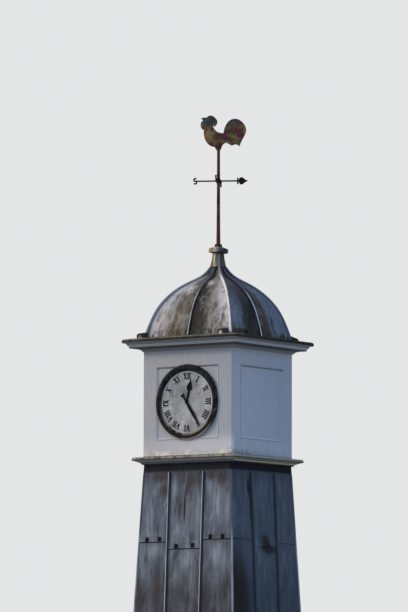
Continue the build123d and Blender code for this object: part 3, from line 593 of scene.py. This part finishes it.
def leadSheet():
    look = Finish("leadSheet", roughness=0.55, specular=0.06)
    tones = leadSet
    clouds = look.noise(1.9, (1, 1, 0.7), detail=6, rough=0.6)
    streaks = look.noise(9.0, (3.4, 3.4, 0.32), detail=7, rough=0.68)
    smears = look.noise(4.2, (2.2, 2.2, 0.55), detail=6, rough=0.62, move=(2, 5, 1), warp=0.5)
    runs = look.reach(look.noise(7.0, (3, 3, 0.5), detail=6, move=(3, 1, 0)), 0.3, 0.54)
    soft = look.noise(3.2, (1.6, 1.6, 0.6), detail=3)
    fine = look.noise(60.0, (2, 2, 0.8), detail=5)
    creases = look.noise(7.0, (0.45, 0.45, 4.0), detail=4, rough=0.6, warp=0.3)
    right = look.reach(look.reckon(look.axis("X"), "SUBTRACT", look.aside("Y")), -0.004, 0.004)

    # milled lead, smeared and streaked by the rain
    colour = look.mix(look.reach(clouds, 0.32, 0.68), tones["deep"], tones["light"])
    colour = look.lay(colour, smears, 0.52, 0.7, tones["smearPale"], 0.6)
    colour = look.lay(colour, smears, 0.48, 0.33, tones["smearDark"], 0.85)
    colour = look.lay(colour, streaks, 0.52, 0.72, tones["streakPale"], 0.55)
    colour = look.lay(colour, streaks, 0.47, 0.3, tones["streakDark"], 0.75)

    # stains in their places; painted shade under the lower cornice and of the roof corner, and a
    # painted shadow line under each lap; darker towards the foot and on the right side
    pale = look.times(look.spots(tones["paleStains"]), look.reach(streaks, 0.35, 0.6, 0.2, 0.75))
    colour = look.mix(pale, colour, tones["pale"])
    brown = look.times(look.spots(tones["brownStains"]), runs, 0.92)
    colour = look.mix(brown, colour, tones["brown"])
    shade = look.times(look.spots(tones["shadeStains"]), look.reach(smears, 0.3, 0.6, 0.45, 0.9))
    colour = look.mix(shade, colour, tones["shade"])
    foot = look.times(look.rise(0, tones["footUp"]), look.reach(smears, 0.35, 0.6, 0.95, 0.55))
    colour = look.mix(foot, colour, tones["foot"])
    # painted shade under the lower cornice, darker towards the head
    colour = look.mix(look.rise(0, tones["headUp"], 0.0, 0.6), colour, tones["head"])
    colour = look.mix(look.times(right, 0.62), colour, tones["right"])
    black = look.times(look.spots(tones["blackStainsAndShade"]), right)
    black = look.times(black, look.reach(streaks, 0.3, 0.55, 0.75, 1.0))
    colour = look.mix(black, colour, tones["black"])
    colour = look.mix(look.times(look.spots(tones["rustStains"]), 0.97), colour, tones["rust"])
    colour = look.mix(look.times(lapLine(look), 0.9), colour, tones["lap"])
    colour = look.lay(colour, fine, 0.56, 0.75, tones["specks"], 0.3)
    bumps = ((soft, 0.016), (creases, 0.005), (streaks, 0.0015), (fine, 0.0006))
    return look.paint(colour, bumps, look.reach(soft, 0.3, 0.7, 0.48, 0.65))


baseRollSet = {
    "front": ((0.035, 0.038, 0.045), (0.46, 0.46, 0.47)),  # painted shade with dirt, then the painted highlight on the worn crest
    # deep and light tones, then the painted highlight
    "corner": ((0.06, 0.07, 0.085), (0.115, 0.13, 0.155), (0.25, 0.275, 0.31)),
    "cornerUp": (1.45, 1.15),
}


def baseRollLead():
    # a painted highlight along the worn crest, painted shade with dirt, nearly black, on the sheltered
    # side
    look = Finish("baseRollLead", roughness=0.5, specular=0.08)
    wear = look.noise(8.0, (2, 2, 0.5), detail=6)
    dirtAndShade, crestTone = baseRollSet["front"]
    x = look.axis("X")
    left, right = leadSet["rolls"]
    second = look.reach(x, -0.01, 0.01, 0.0, left - right)
    offset = look.reckon(look.reckon(x, "ADD", -left), "ADD", second)  # from the nearer roll
    front = look.reach(look.axis("Y"), -0.65, -0.68)
    crest = look.times(look.reach(offset, 0.004, -0.002), look.reach(offset, -0.015, -0.01), front)
    wornAndLit = look.reach(wear, 0.3, 0.55, 0.5, 1.0)
    return look.paint(look.mix(look.times(crest, wornAndLit), dirtAndShade, crestTone), ((wear, 0.001),))


def cornerRollLead():
    # thin rolls on the corners, with a painted highlight along their lower half, broken up by wear
    look = Finish("cornerRollLead", roughness=0.55, specular=0.06)
    wear = look.noise(7.0, (2, 2, 0.5), detail=6)
    deep, light, wornAndLit = baseRollSet["corner"]
    low = look.rise(0, baseRollSet["cornerUp"])
    bright = look.times(low, look.reach(wear, 0.35, 0.55, 0.4, 1.0))
    colour = look.mix(bright, look.mix(wear, deep, light), wornAndLit)
    return look.paint(colour, ((wear, 0.001),))


darkSet = {
    "edgeUp": (-0.085, -0.108),  # over the stage's foot
    "deep": (0.007, 0.007, 0.008),
    "light": (0.026, 0.027, 0.032),
    "right": (0.006, 0.008, 0.01),
    "edge": (0.075, 0.085, 0.105),
}


def darkLead():
    # the band under the lower cornice, with a paler lower edge
    look = Finish("darkLead", roughness=0.65, specular=0.03)
    clouds = look.noise(6.0, (2, 2, 0.7), detail=6)
    colour = look.mix(clouds, darkSet["deep"], darkSet["light"])
    colour = look.lay(colour, look.axis("X"), 0.66, 0.68, darkSet["right"], 0.75)
    colour = look.mix(look.rise(stageFoot, darkSet["edgeUp"], 0.0, 0.6), colour, darkSet["edge"])
    return look.paint(colour, ((look.noise(25.0, (2, 2, 0.6)), 0.001),))


edgeSet = {
    # the upper cornice, with heights over the stage's head
    "crest": (0.063, 0.07),
    "turned": (0.064, 0.052),
    "roll": (0.083, 0.095),
    "coreAside": 0.647,  # the bared cores of the front's two rolls
    "coreOut": 0.8745,
    "coreUp": 0.075,
    "coreSize": (0.037, 0.02, 0.062),
    "coreEdge": 0.8,
    "core": (0.58, 0.53, 0.43),
    "brown": ((0.04, 0.034, 0.028), (0.13, 0.11, 0.09)),
    "crestMoss": (0.19, 0.2, 0.15),
    # painted sunlight towards the left end
    "sunny": (0.33, 0.28, 0.25),
    "moss": ((0.008, 0.01, 0.004), (0.03, 0.034, 0.018)),
    "rollTones": ((0.028, 0.024, 0.02), (0.012, 0.014, 0.006)),
    # the lower one, with a height over the stage's foot
    "drip": (0.07, 0.062),
    "cream": ((0.11, 0.088, 0.062), (0.3, 0.27, 0.21)),
    "creamRight": ((0.15, 0.155, 0.15), (0.25, 0.25, 0.24)),
    # painted shade on the turned-down edges under both cornices
    "under": (0.022, 0.02, 0.016),
}


def edgeLead():
    # lead on the cornices: brown, with painted sunlight towards the left end and painted shade on the
    # turned-down edges, mossy round on the right
    look = Finish("edgeLead", roughness=0.7, specular=0.04)
    tones = edgeSet
    clouds = look.noise(7.0, detail=7, rough=0.65)
    moss = look.noise(14.0, detail=6, move=(5, 2, 1))
    x = look.axis("X")
    right = look.reach(look.along((0.7, 0.7, 0)), -0.05, 0.25)
    upper = look.reckon(look.axis("Z"), "GREATER_THAN", stageMiddle)
    brown = look.mix(look.reach(clouds, 0.35, 0.65), *tones["brown"])
    mossy = look.times(look.rise(stageHead, tones["crest"]), look.reach(moss, 0.4, 0.6, 0.3, 0.9))
    brown = look.mix(mossy, brown, tones["crestMoss"])
    sunny = look.times(look.reach(x, -0.5, -0.85, 0.0, 0.8), look.reach(clouds, 0.35, 0.6))
    brown = look.mix(sunny, brown, tones["sunny"])
    brown = look.mix(right, brown, look.mix(look.reach(moss, 0.4, 0.6), *tones["moss"]))
    cream = look.mix(look.reach(clouds, 0.4, 0.62), *tones["cream"])
    cream = look.mix(right, cream, look.mix(clouds, *tones["creamRight"]))
    colour = look.mix(upper, cream, brown)
    drip, turned = look.rise(stageFoot, tones["drip"]), look.rise(stageHead, tones["turned"])
    colour = look.mix(look.times(look.mix(upper, drip, turned), 0.88), colour, tones["under"])

    # the short rolls, with the front two's cores bared at their ends
    outer = look.reach(look.outwards(), 0.725, 0.735)
    roll = look.times(look.rise(stageHead, tones["roll"]), outer, 0.9)
    colour = look.mix(roll, colour, look.mix(right, *tones["rollTones"]))
    ends = []
    for way in (-1, 1):
        centre = (way * tones["coreAside"], -tones["coreOut"], stageHead + tones["coreUp"])
        ends.append(look.spot(centre, tones["coreSize"], tones["coreEdge"]))
    core = look.times(look.reckon(ends[0], "MAXIMUM", ends[1]), look.reach(x, -0.3, 0.3, 0.25, 0.9))
    return look.paint(look.mix(core, colour, tones["core"]), ((clouds, 0.003), (moss, 0.002)))


domeSet = {
    # tones from the left hip to the right one, as shares of the half width: patina with painted sheen
    # and sky reflection
    "front": (
        (-1.0, (0.3, 0.3, 0.31)), (-0.8, (0.42, 0.415, 0.41)), (-0.6, (0.31, 0.29, 0.265)),
        (-0.4, (0.115, 0.092, 0.07)), (-0.2, (0.155, 0.128, 0.098)), (-0.04, (0.11, 0.092, 0.072)),
        (0.04, (0.018, 0.017, 0.016)), (0.28, (0.038, 0.034, 0.031)), (0.46, (0.17, 0.145, 0.12)),
        (0.62, (0.25, 0.23, 0.215)), (0.84, (0.47, 0.46, 0.45)), (1.0, (0.54, 0.52, 0.48)),
    ),
    "side": (
        (-1.0, (0.13, 0.15, 0.175)), (-0.8, (0.11, 0.135, 0.165)), (-0.58, (0.075, 0.095, 0.12)),
        (-0.42, (0.009, 0.012, 0.016)), (-0.1, (0.006, 0.008, 0.01)), (0.08, (0.015, 0.013, 0.012)),
        (0.28, (0.035, 0.03, 0.028)), (0.46, (0.09, 0.11, 0.135)), (0.78, (0.1, 0.13, 0.165)),
        (1.0, (0.12, 0.145, 0.175)),
    ),
    # pale worn places on the front
    "patches": (
        ((-0.17, -0.36, 4.56), (0.1, 0.3, 0.2)),
        ((-0.52, -0.62, 4.1), (0.1, 0.3, 0.2)),
        ((0.1, -0.3, 4.62), (0.08, 0.3, 0.12)),
    ),
    "neckUp": (-0.34, -0.05),
    "sideHeadUp": (-0.62, -0.3),
    "footUp": (0.11, 0.05),
    "patch": (0.5, 0.47, 0.43),
    "runPale": (0.62, 0.61, 0.59),
    "runDark": (0.02, 0.018, 0.016),
    "blot": (0.022, 0.017, 0.016),
    "neck": (0.022, 0.018, 0.026),
    "foot": (0.022, 0.024, 0.014),
    "sideHead": (0.024, 0.026, 0.036),
    "specks": (0.03, 0.026, 0.024),
}


def domeLead():
    look = Finish("domeLead", roughness=0.5, specular=0.06)
    tones = domeSet
    clouds = look.noise(3.0, (1, 1, 0.8), detail=6, rough=0.6)
    runs = look.noise(6.0, (2.2, 2.2, 0.5), detail=5, rough=0.58, warp=0.3)
    blots = look.noise(9.0, (1.3, 1.3, 0.8), detail=6, rough=0.6, move=(4, 2, 6))
    moss = look.noise(20.0, (1, 1, 0.5), detail=6, rough=0.65)
    fine = look.noise(55.0, detail=5)
    x, y = look.axis("X"), look.axis("Y")
    wide, deep = look.aside("X"), look.aside("Y")

    # the two sheets of a side, toned across from hip to hip: patina with painted sheen and reflection
    sway = look.reckon(look.noise(3.0, detail=4, move=(1, 2, 3)), "SUBTRACT", 0.5)
    sway = look.times(sway, 0.35)
    acrossFront = look.reckon(look.reckon(x, "DIVIDE", deep), "ADD", sway)
    acrossSide = look.reckon(look.reckon(y, "DIVIDE", wide), "ADD", sway)
    onSide = look.reckon(wide, "GREATER_THAN", deep)
    front = look.ramp(acrossFront, -1.0, 1.0, tones["front"])
    side = look.ramp(acrossSide, -1.0, 1.0, tones["side"])
    colour = look.mix(onSide, front, side)
    pale = look.times(look.spots(tones["patches"]), look.reach(blots, 0.58, 0.48, 0.3, 0.9))
    colour = look.mix(pale, colour, tones["patch"])

    # rain runs and blots
    paler = look.mix(look.reckon(0.22, "ADD", look.times(onSide, -0.14)), colour, tones["runPale"])
    colour = look.lay(colour, runs, 0.5, 0.68, paler)
    colour = look.lay(colour, runs, 0.5, 0.32, look.mix(0.7, colour, tones["runDark"]))
    colour = look.lay(colour, blots, 0.5, 0.7, look.mix(0.5, colour, tones["blot"]))

    # dark towards the neck, mossy at the foot
    neck = look.rise(neckFoot, tones["neckUp"], 0.0, 0.92)
    colour = look.mix(look.times(neck, look.reach(runs, 0.42, 0.52)), colour, tones["neck"])
    foot = look.rise(domeFoot, tones["footUp"], 0.0, 0.92)
    colour = look.mix(look.times(foot, look.reach(moss, 0.44, 0.56)), colour, tones["foot"])
    sideHead = look.rise(neckFoot, tones["sideHeadUp"], 0.0, 0.75)
    sideHead = look.times(sideHead, onSide, look.reach(acrossSide, 0.5, 0.3))
    colour = look.mix(sideHead, colour, tones["sideHead"])
    colour = look.lay(colour, fine, 0.58, 0.75, tones["specks"], 0.4)
    bumps = ((clouds, 0.01), (runs, 0.002), (fine, 0.0008))
    return look.paint(colour, bumps, look.reach(clouds, 0.3, 0.7, 0.42, 0.6))


rollSet = {
    # the painted highlight on the lit side for rolls on the right and on the left, the painted shade on
    # the other side, the painted shade under the neck
    "hip": {
        "right": (0.72, 0.69, 0.62), "left": (0.2, 0.22, 0.25), "dark": (0.1, 0.12, 0.15),
        "neckUp": (-0.18, -0.06), "shade": 0.6,
    },
    "mid": {
        "right": (0.5, 0.49, 0.47), "left": (0.4, 0.4, 0.4), "dark": (0.022, 0.025, 0.032),
        "neckUp": (-0.42, -0.3), "shade": 0.85,
    },
    "neck": (0.05, 0.045, 0.05),
    "offMiddle": -0.007,
}


def rollLead(kind):
    # the dome's rolls: a painted highlight on the side that the light reaches, painted shade on the
    # other
    tones = rollSet[kind]
    look = Finish(kind + "RollLead", roughness=0.5, specular=0.08)
    wear = look.noise(9.0, (1, 1, 0.7), detail=6, rough=0.62)
    x = look.axis("X")
    wide, deep = look.aside("X"), look.aside("Y")
    wornAndLit = look.reach(wear, 0.3, 0.5, 0.6, 1.0)
    if kind == "mid":
        onSide = look.reckon(wide, "GREATER_THAN", deep)
        moved = look.reckon(x, "ADD", rollSet["offMiddle"])
        off = look.mix(onSide, look.grey(moved), look.grey(look.axis("Y")))
        paintedLight = look.times(off, -1.0)
        wornAndLit = look.times(wornAndLit, look.reach(paintedLight, 0.016, 0.011))
    else:
        paintedLight = look.reckon(deep, "SUBTRACT", wide)
    bright = look.times(look.reach(paintedLight, -0.003, 0.001), wornAndLit)
    pale = look.mix(look.reach(x, 0.3, -0.1), tones["right"], tones["left"])
    colour = look.mix(bright, tones["dark"], pale)
    neck = look.rise(neckFoot, tones["neckUp"], 0.0, tones["shade"])
    return look.paint(look.mix(neck, colour, rollSet["neck"]), ((wear, 0.002),))


neckSet = {
    "way": (0.8186, 0.5744, 0),  # from the sunny side to the mossy one
    # painted light and highlights on the left, painted shade on the right, over the lead's own browns
    # and moss
    "sleeve": (
        (-0.1, (0.12, 0.075, 0.055)), (-0.075, (0.22, 0.15, 0.05)), (-0.05, (0.62, 0.52, 0.32)),
        (-0.03, (0.19, 0.165, 0.16)), (-0.01, (0.1, 0.12, 0.115)), (0.012, (0.22, 0.21, 0.18)),
        (0.035, (0.055, 0.068, 0.065)), (0.06, (0.1, 0.085, 0.06)), (0.08, (0.09, 0.05, 0.02)),
        (0.1, (0.22, 0.2, 0.17)),
    ),
    "sleeveDirt": (0.05, 0.045, 0.04),
    "cap": (
        (-0.14, (0.48, 0.36, 0.25)), (-0.1, (0.28, 0.2, 0.14)), (-0.05, (0.42, 0.34, 0.26)),
        (-0.01, (0.28, 0.235, 0.185)), (0.02, (0.065, 0.068, 0.075)), (0.06, (0.055, 0.05, 0.06)),
        (0.09, (0.035, 0.018, 0.018)), (0.14, (0.16, 0.145, 0.135)),
    ),
    "capUnder": (0.022, 0.017, 0.014),
    "capUnderUp": (0.024, 0.012),  # over the sleeve's head
}


def acrossNeck(look, wear, name, sway):
    # the neck's tones from one side to the other, painted light with highlights on the left and painted
    # shade on the right, with wavering edges
    bands = neckSet[name]
    wavering = look.times(look.reckon(wear, "SUBTRACT", 0.5), sway)
    across = look.reckon(look.along(neckSet["way"]), "ADD", wavering)
    return look.ramp(across, bands[0][0], bands[-1][0], bands)


def sleeveLead():
    look = Finish("sleeveLead", roughness=0.55, specular=0.06)
    wear = look.noise(16.0, (1.6, 1.6, 0.5), detail=6, rough=0.62)
    colour = acrossNeck(look, wear, "sleeve", 0.03)
    colour = look.lay(colour, wear, 0.55, 0.72, neckSet["sleeveDirt"], 0.6)
    return look.paint(colour, ((wear, 0.002),))


def capLead():
    look = Finish("capLead", roughness=0.6, specular=0.05)
    wear = look.noise(14.0, detail=6, rough=0.62)
    colour = acrossNeck(look, wear, "cap", 0.05)
    under = look.rise(neckHead, neckSet["capUnderUp"], 0.0, 0.85)
    return look.paint(look.mix(under, colour, neckSet["capUnder"]), ((wear, 0.002),))


ironSet = {
    "rusted": ((0.022, 0.01, 0.008), (0.115, 0.045, 0.032)),
    "black": ((0.008, 0.006, 0.005), (0.026, 0.014, 0.011)),
    "ring": ((0.006, 0.007, 0.008), (0.022, 0.022, 0.024)),
    # painted highlights on the rim's left and low down inside
    "ringRim": (0.33, 0.265, 0.21),
    "ringInside": (0.26, 0.2, 0.15),
    "rimIn": (-0.024, -0.014),  # off the ring's outer edge
    "insideOut": (-0.022, -0.03),  # off the dial's edge
    "leftUp": (0.1, -0.25),  # over the clock's middle
    "insideUp": (0.05, -0.25),
    "scuff": (0.12, 0.115, 0.11),
    "hands": ((0.003, 0.003, 0.003), (0.01, 0.009, 0.01)),
}


def rustedIron():
    look = Finish("rustedIron", roughness=0.8, specular=0.05)
    spots = look.noise(17.0, (1, 1, 0.5), detail=7, rough=0.7)
    colour = look.mix(look.reach(spots, 0.38, 0.62), *ironSet["rusted"])
    return look.paint(colour, ((spots, 0.0015),))


def blackIron():
    look = Finish("blackIron", roughness=0.75, specular=0.03)
    spots = look.noise(24.0, detail=6)
    return look.paint(look.mix(spots, *ironSet["black"]), ((spots, 0.0008),))


def ringPaint():
    # black, with a painted highlight on the outer rim on the left and low down inside, broken up by
    # wear
    look = Finish("ringPaint", roughness=0.55, specular=0.06)
    tones = ironSet
    wear = look.noise(9.0, detail=7, rough=0.65)
    fine = look.noise(50.0, detail=4)
    colour = look.mix(look.reach(wear, 0.4, 0.6), *tones["ring"])
    away = look.vectors(look.place, "SUBTRACT", (0, dialFace, clockHeight))
    far = look.vectors(look.vectors(away, "MULTIPLY", (1, 0, 1)), "LENGTH")
    rim = look.reach(far, *(ringRadius + way for way in tones["rimIn"]))
    left = look.reach(look.along((0.75, 0, 1)), *(clockHeight + up for up in tones["leftUp"]))
    wornAndLit = look.times(rim, left, look.reach(wear, 0.34, 0.5, 0.35, 1.0))
    colour = look.mix(wornAndLit, colour, tones["ringRim"])
    inside = look.reach(far, *(dialRadius + way for way in tones["insideOut"]))
    low = look.rise(clockHeight, tones["insideUp"])
    insideHighlight = look.times(inside, look.reach(wear, 0.42, 0.56), low, 0.8)
    colour = look.mix(insideHighlight, colour, tones["ringInside"])
    colour = look.lay(colour, look.noise(22.0, detail=6, rough=0.7), 0.55, 0.66, tones["scuff"], 0.75)
    return look.paint(colour, ((wear, 0.001), (fine, 0.0004)))


dialSet = {
    # marks: place, its height from the clock's middle, and half size; the dark ones are painted shadow
    # of the ring, the others stains
    "paintedRingShadows": (
        ((-0.01, -0.71, 0.13), (0.17, 0.3, 0.14)),
        ((0.12, -0.71, 0.24), (0.12, 0.3, 0.1)),
        ((-0.2, -0.71, 0.1), (0.16, 0.3, 0.26)),
    ),
    "creamStains": (
        ((-0.048, -0.71, -0.193), (0.03, 0.3, 0.035)),
        ((0.016, -0.71, -0.13), (0.022, 0.3, 0.026)),
        ((-0.064, -0.71, -0.258), (0.03, 0.3, 0.024)),
        ((0.385, -0.71, 0.0), (0.02, 0.3, 0.22)),
    ),
    "rustStains": (((0.249, -0.71, -0.297), (0.03, 0.3, 0.022)),),
    "shade": (0.24, 0.25, 0.255),
    "light": (0.44, 0.44, 0.43),
    "streak": (0.13, 0.135, 0.145),
    "speck": (0.09, 0.09, 0.1),
    "dark": (0.12, 0.125, 0.135),
    "cream": (0.58, 0.48, 0.37),
    "rust": (0.32, 0.15, 0.055),
}


def dialPaint():
    look = Finish("dialPaint", roughness=0.6, specular=0.1)
    tones = dialSet
    clouds = look.noise(6.0, detail=7, rough=0.68)
    streaks = look.noise(11.0, (2.2, 1, 0.8), detail=6, rough=0.68)
    specks = look.noise(34.0, detail=5, rough=0.65)

    def placed(kind):
        return look.spots([((x, y, z + clockHeight), size) for (x, y, z), size in tones[kind]])

    colour = look.mix(look.reach(clouds, 0.3, 0.7), tones["shade"], tones["light"])
    colour = look.lay(colour, streaks, 0.54, 0.72, tones["streak"], 0.55)
    colour = look.lay(colour, specks, 0.57, 0.66, tones["speck"], 0.6)
    dark = look.times(placed("paintedRingShadows"), look.reach(streaks, 0.35, 0.6, 0.25, 0.75))
    colour = look.mix(dark, colour, tones["dark"])
    cream = look.times(placed("creamStains"), look.reach(specks, 0.6, 0.5, 0.2, 0.8))
    colour = look.mix(cream, colour, tones["cream"])
    colour = look.mix(look.times(placed("rustStains"), 0.9), colour, tones["rust"])
    return look.paint(colour, ((clouds, 0.001), (specks, 0.0003)))


def handPaint():
    look = Finish("handPaint", roughness=0.6, specular=0.03)
    wear = look.noise(40.0, detail=5)
    return look.paint(look.mix(wear, *ironSet["hands"]), ((wear, 0.0005),))


copperSet = {
    "head": ((-0.11, -0.08, 0.4), (0.11, 0.11, 0.13)),  # place over the rod, and size
    "topUp": (0.33, 0.4),
    "deep": (0.075, 0.045, 0.026),
    "light": (0.22, 0.15, 0.06),
    "red": (0.12, 0.018, 0.042),
    "green": (0.018, 0.045, 0.058),
    "mark": (0.03, 0.028, 0.05),
    "bright": (0.26, 0.21, 0.1),
    "specks": (0.028, 0.02, 0.018),
}


def oldCopper():
    look = Finish("oldCopper", roughness=0.7, specular=0.06)
    tones = copperSet
    large = look.noise(6.5, detail=5, rough=0.6)
    patches = look.noise(12.0, detail=6, rough=0.65, move=(2, 4, 1))
    marks = look.noise(20.0, detail=5, rough=0.6, move=(4, 1, 7))
    fine = look.noise(45.0, detail=5)
    colour = look.mix(look.reach(large, 0.36, 0.62), tones["deep"], tones["light"])
    colour = look.lay(colour, patches, 0.5, 0.58, tones["red"], 0.9)
    (x, y, up), size = tones["head"]
    head = look.spot((x, y, rodHead + up), size, 0.45)
    top = look.rise(rodHead, tones["topUp"])
    green = look.times(look.reckon(head, "MAXIMUM", top), look.reach(patches, 0.66, 0.52), 0.85)
    colour = look.mix(green, colour, tones["green"])
    colour = look.lay(colour, marks, 0.6, 0.68, tones["mark"], 0.85)
    colour = look.lay(colour, marks, 0.36, 0.28, tones["bright"], 0.7)
    colour = look.lay(colour, fine, 0.56, 0.7, tones["specks"], 0.5)
    return look.paint(colour, ((patches, 0.002), (fine, 0.0008)))


timberTones = ((0.07, 0.05, 0.035), (0.18, 0.13, 0.085))


def oldTimber():
    look = Finish("oldTimber", roughness=0.8, specular=0.2)
    grain = look.noise(18.0, (6, 6, 0.4), detail=6)
    return look.paint(look.mix(grain, *timberTones), ((grain, 0.001),))


def dressNodes():
    finishes = {
        "timber": oldTimber(),
        "white_paint": whitePaint(),
        "lead_base": leadSheet(),
        "lead_dark": darkLead(),
        "lead_edge": edgeLead(),
        "lead_dome": domeLead(),
        "rusted_iron": rustedIron(),
        "black_iron": ringPaint(),
        "dial_paint": dialPaint(),
        "black_hands": handPaint(),
        "old_copper": oldCopper(),
    }
    moulded = cornicePaint()
    special = {
        "panel_mouldings": mouldingPaint(),
        "neck_sleeve": sleeveLead(),
        "neck_cap": capLead(),
        "compass_arms": blackIron(),
        "dome_hip_rolls": rollLead("hip"),
        "dome_mid_rolls": rollLead("mid"),
        "base_rolls": baseRollLead(),
        "base_corner_rolls": cornerRollLead(),
    }
    for row in frame["record"]["subparts"]:
        name = row["node"]
        slot = row["material_slot"]
        mat = special.get(name, finishes[slot])
        if "cornice" in name and slot == "white_paint":
            mat = moulded
        putMaterial(nodes[name], mat)
    print("finishes made")
    return special["compass_arms"], finishes["black_hands"]


numeralSet = {
    "inner": 0.298,
    "outer": 0.384,
    "thick": 0.019,
    "thin": 0.011,
    "serif": 0.007,
    "flare": (1.0, 1.9),  # how the serif widens, in two steps
    "raise": 0.0016,
    "gap": 0.002,
    "widths": {"I": 0.027, "V": 0.06, "X": 0.06},
    "words": ("XII", "I", "II", "III", "IIII", "V", "VI", "VII", "VIII", "IX", "X", "XI"),
    "colour": (0.006, 0.006, 0.007),
    "wornAndLit": (0.12, 0.125, 0.13),
}


def figurePaint():
    # the numerals' paint, thin in places
    look = Finish("figurePaint", roughness=0.6, specular=0.04)
    wear = look.reach(look.noise(26.0, detail=6, rough=0.65), 0.56, 0.68, 0.0, 0.7)
    return look.paint(look.mix(wear, numeralSet["colour"], numeralSet["wornAndLit"]))


def stroke(low, high, width, ends):
    # a bar between two points on the dial, with a bracketed serif at each end that has one
    span = Vector((high[0] - low[0], 0, high[1] - low[1]))
    serif = numeralSet["serif"]
    length = span.length - serif * (2 if ends == "both" else 1)
    bpy.ops.mesh.primitive_cube_add(size=1, scale=(width, numeralSet["raise"], length))
    bar = bpy.context.object
    settle(bar)
    for way in (1, -1) if ends == "both" else (1,):
        editFaces(bar, lambda face: face.normal.z * way > 0.9)
        for widen in numeralSet["flare"]:
            extrude((0, 0, serif * way / 2))
            end = (0, 0, way * (length + serif) / 2)
            bpy.ops.transform.resize(value=(widen, 1, 1), center_override=end)
        leaveEdit()
    middle = ((low[0] + high[0]) / 2, 0, (low[1] + high[1]) / 2)
    settle(bar, middle, (0, math.atan2(span.x, span.z), 0))
    return bar


def makeGlyph(kind):
    # one letter of the numerals, centred, its foot towards the dial's middle
    foot, head, thick, thin = (numeralSet[name] for name in ("inner", "outer", "thick", "thin"))
    lean = numeralSet["widths"][kind] / 2 - thick / 2
    bars = {
        "I": ((0, 0, thick, "both"),),
        "V": ((0, -lean, thick, "head"), (0, lean, thin, "head")),
        "X": ((lean, -lean, thick, "both"), (-lean, lean, thin, "both")),
    }
    strokes = [stroke((low, foot), (high, head), width, ends) for low, high, width, ends in bars[kind]]
    return joinAll(strokes, "glyph" + kind)


def makeNumerals(mat):
    glyphs = {kind: makeGlyph(kind) for kind in "IVX"}
    widths = numeralSet["widths"]
    gap = numeralSet["gap"]
    words = numeralSet["words"]
    onDial = (0, dialFace - numeralSet["raise"] / 2, clockHeight)
    made = []
    for hour, word in enumerate(words):
        left = -(sum(widths[kind] for kind in word) + gap * (len(word) - 1)) / 2
        turned = math.radians(360 / len(words) * hour)
        for kind in word:
            letter = copyOf(glyphs[kind])
            settle(letter, (left + widths[kind] / 2, 0, 0))
            settle(letter, onDial, (0, turned, 0))
            made.append(letter)
            left += widths[kind] + gap
    for glyph in glyphs.values():
        remove(glyph)
    numerals = joinAll(made, "dialNumerals")
    putMaterial(numerals, mat)
    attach(numerals, "turret")
    print("numerals made")


clipSet = {
    "width": 0.054,
    "height": 0.046,
    "thick": 0.003,
    "lip": 0.014,
    "out": 0.002,
    "turn": 0.007,
    "taper": 0.8,
    "bevel": 0.001,
    "bevelSteps": 2,
    "stand": 0.0168,
    "below": 0.008,
    "boardsIn": 0.012,  # the boards' head, in from the stage's face
    "places": (
        (-0.609, 1.2), (-0.408, 1.203), (-0.139, 1.105),
        (0.126, 1.11), (0.404, 1.217), (0.601, 1.218),
    ),
}


def wallOut(height):
    # how far out the base boards stand at a height
    head = stageHalf - clipSet["boardsIn"]
    return baseFoot + (head - baseFoot) * height / stageFoot


def modelClip():
    # a strip over the foot of an upper sheet, its lower end folded back on itself
    height = clipSet["height"]
    bpy.ops.mesh.primitive_cube_add(size=1, scale=(clipSet["width"], clipSet["thick"], height))
    clip = bpy.context.object
    settle(clip, (0, 0, height / 2))
    editFaces(clip, lambda face: face.normal.z < -0.9)
    extrude((0, -clipSet["out"], -clipSet["lip"] / 2))
    extrude((0, clipSet["turn"], -clipSet["lip"] / 2))
    leaveEdit()
    editFaces(clip, lambda face: face.normal.z > 0.9)
    bpy.ops.transform.resize(value=(clipSet["taper"], 1, 1), center_override=(0, 0, height))
    leaveEdit()
    soften(clip, clipSet["bevel"], clipSet["bevelSteps"])
    return clip


def makeClips(mat):
    first = modelClip()
    lean = math.atan2(wallOut(0) - wallOut(1), 1.0)
    made = []
    for x, lap in clipSet["places"]:
        clip = copyOf(first)
        low = lap - clipSet["below"]
        settle(clip, (x, -wallOut(low) - clipSet["stand"], low), (-lean, 0, 0))
        made.append(clip)
    remove(first)
    clips = joinAll(made, "leadClips")
    putMaterial(clips, mat)
    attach(clips, "turret")
    print("clips made")


eyeSet = {
    "radius": 0.012,
    "sides": 20,
    "proud": 0.006,
    "rim": 0.35,  # shares of the radius
    "step": 0.15,
    "sunk": 0.002,
    "along": 0.137,
    "up": 0.412,
    "out": 0.022,
    "heading": 215.0,
}


def makeEyes(mat):
    # a washer with a raised rim and a sunk middle, on each side of the head
    radius = eyeSet["radius"]
    bpy.ops.mesh.primitive_cylinder_add(vertices=eyeSet["sides"], radius=radius, depth=eyeSet["proud"])
    first = bpy.context.object
    settle(first, turned=(math.radians(90), 0, 0))
    editFaces(first, lambda face: abs(face.normal.y) > 0.9)
    bpy.ops.mesh.inset(thickness=radius * eyeSet["rim"], depth=0.0)
    bpy.ops.mesh.inset(thickness=radius * eyeSet["step"], depth=-eyeSet["sunk"])
    leaveEdit()
    heading = math.radians(eyeSet["heading"])
    ahead = Vector((math.cos(heading), math.sin(heading), 0))
    aside = Vector((-ahead.y, ahead.x, 0))
    middle = ahead * eyeSet["along"] + Vector((0, 0, rodHead + eyeSet["up"]))
    made = []
    for way in (-1, 1):
        eye = copyOf(first)
        settle(eye, middle + aside * way * eyeSet["out"], (0, 0, heading))
        made.append(eye)
    remove(first)
    eyes = joinAll(made, "vaneEyes")
    putMaterial(eyes, mat)
    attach(eyes, "vane")
    print("eyes made")


makeCamera()
makeSun()
makeSky()
makeFloor()
ironBlack, clipBlack = dressNodes()
makeNumerals(figurePaint())
makeClips(clipBlack)
makeEyes(ironBlack)
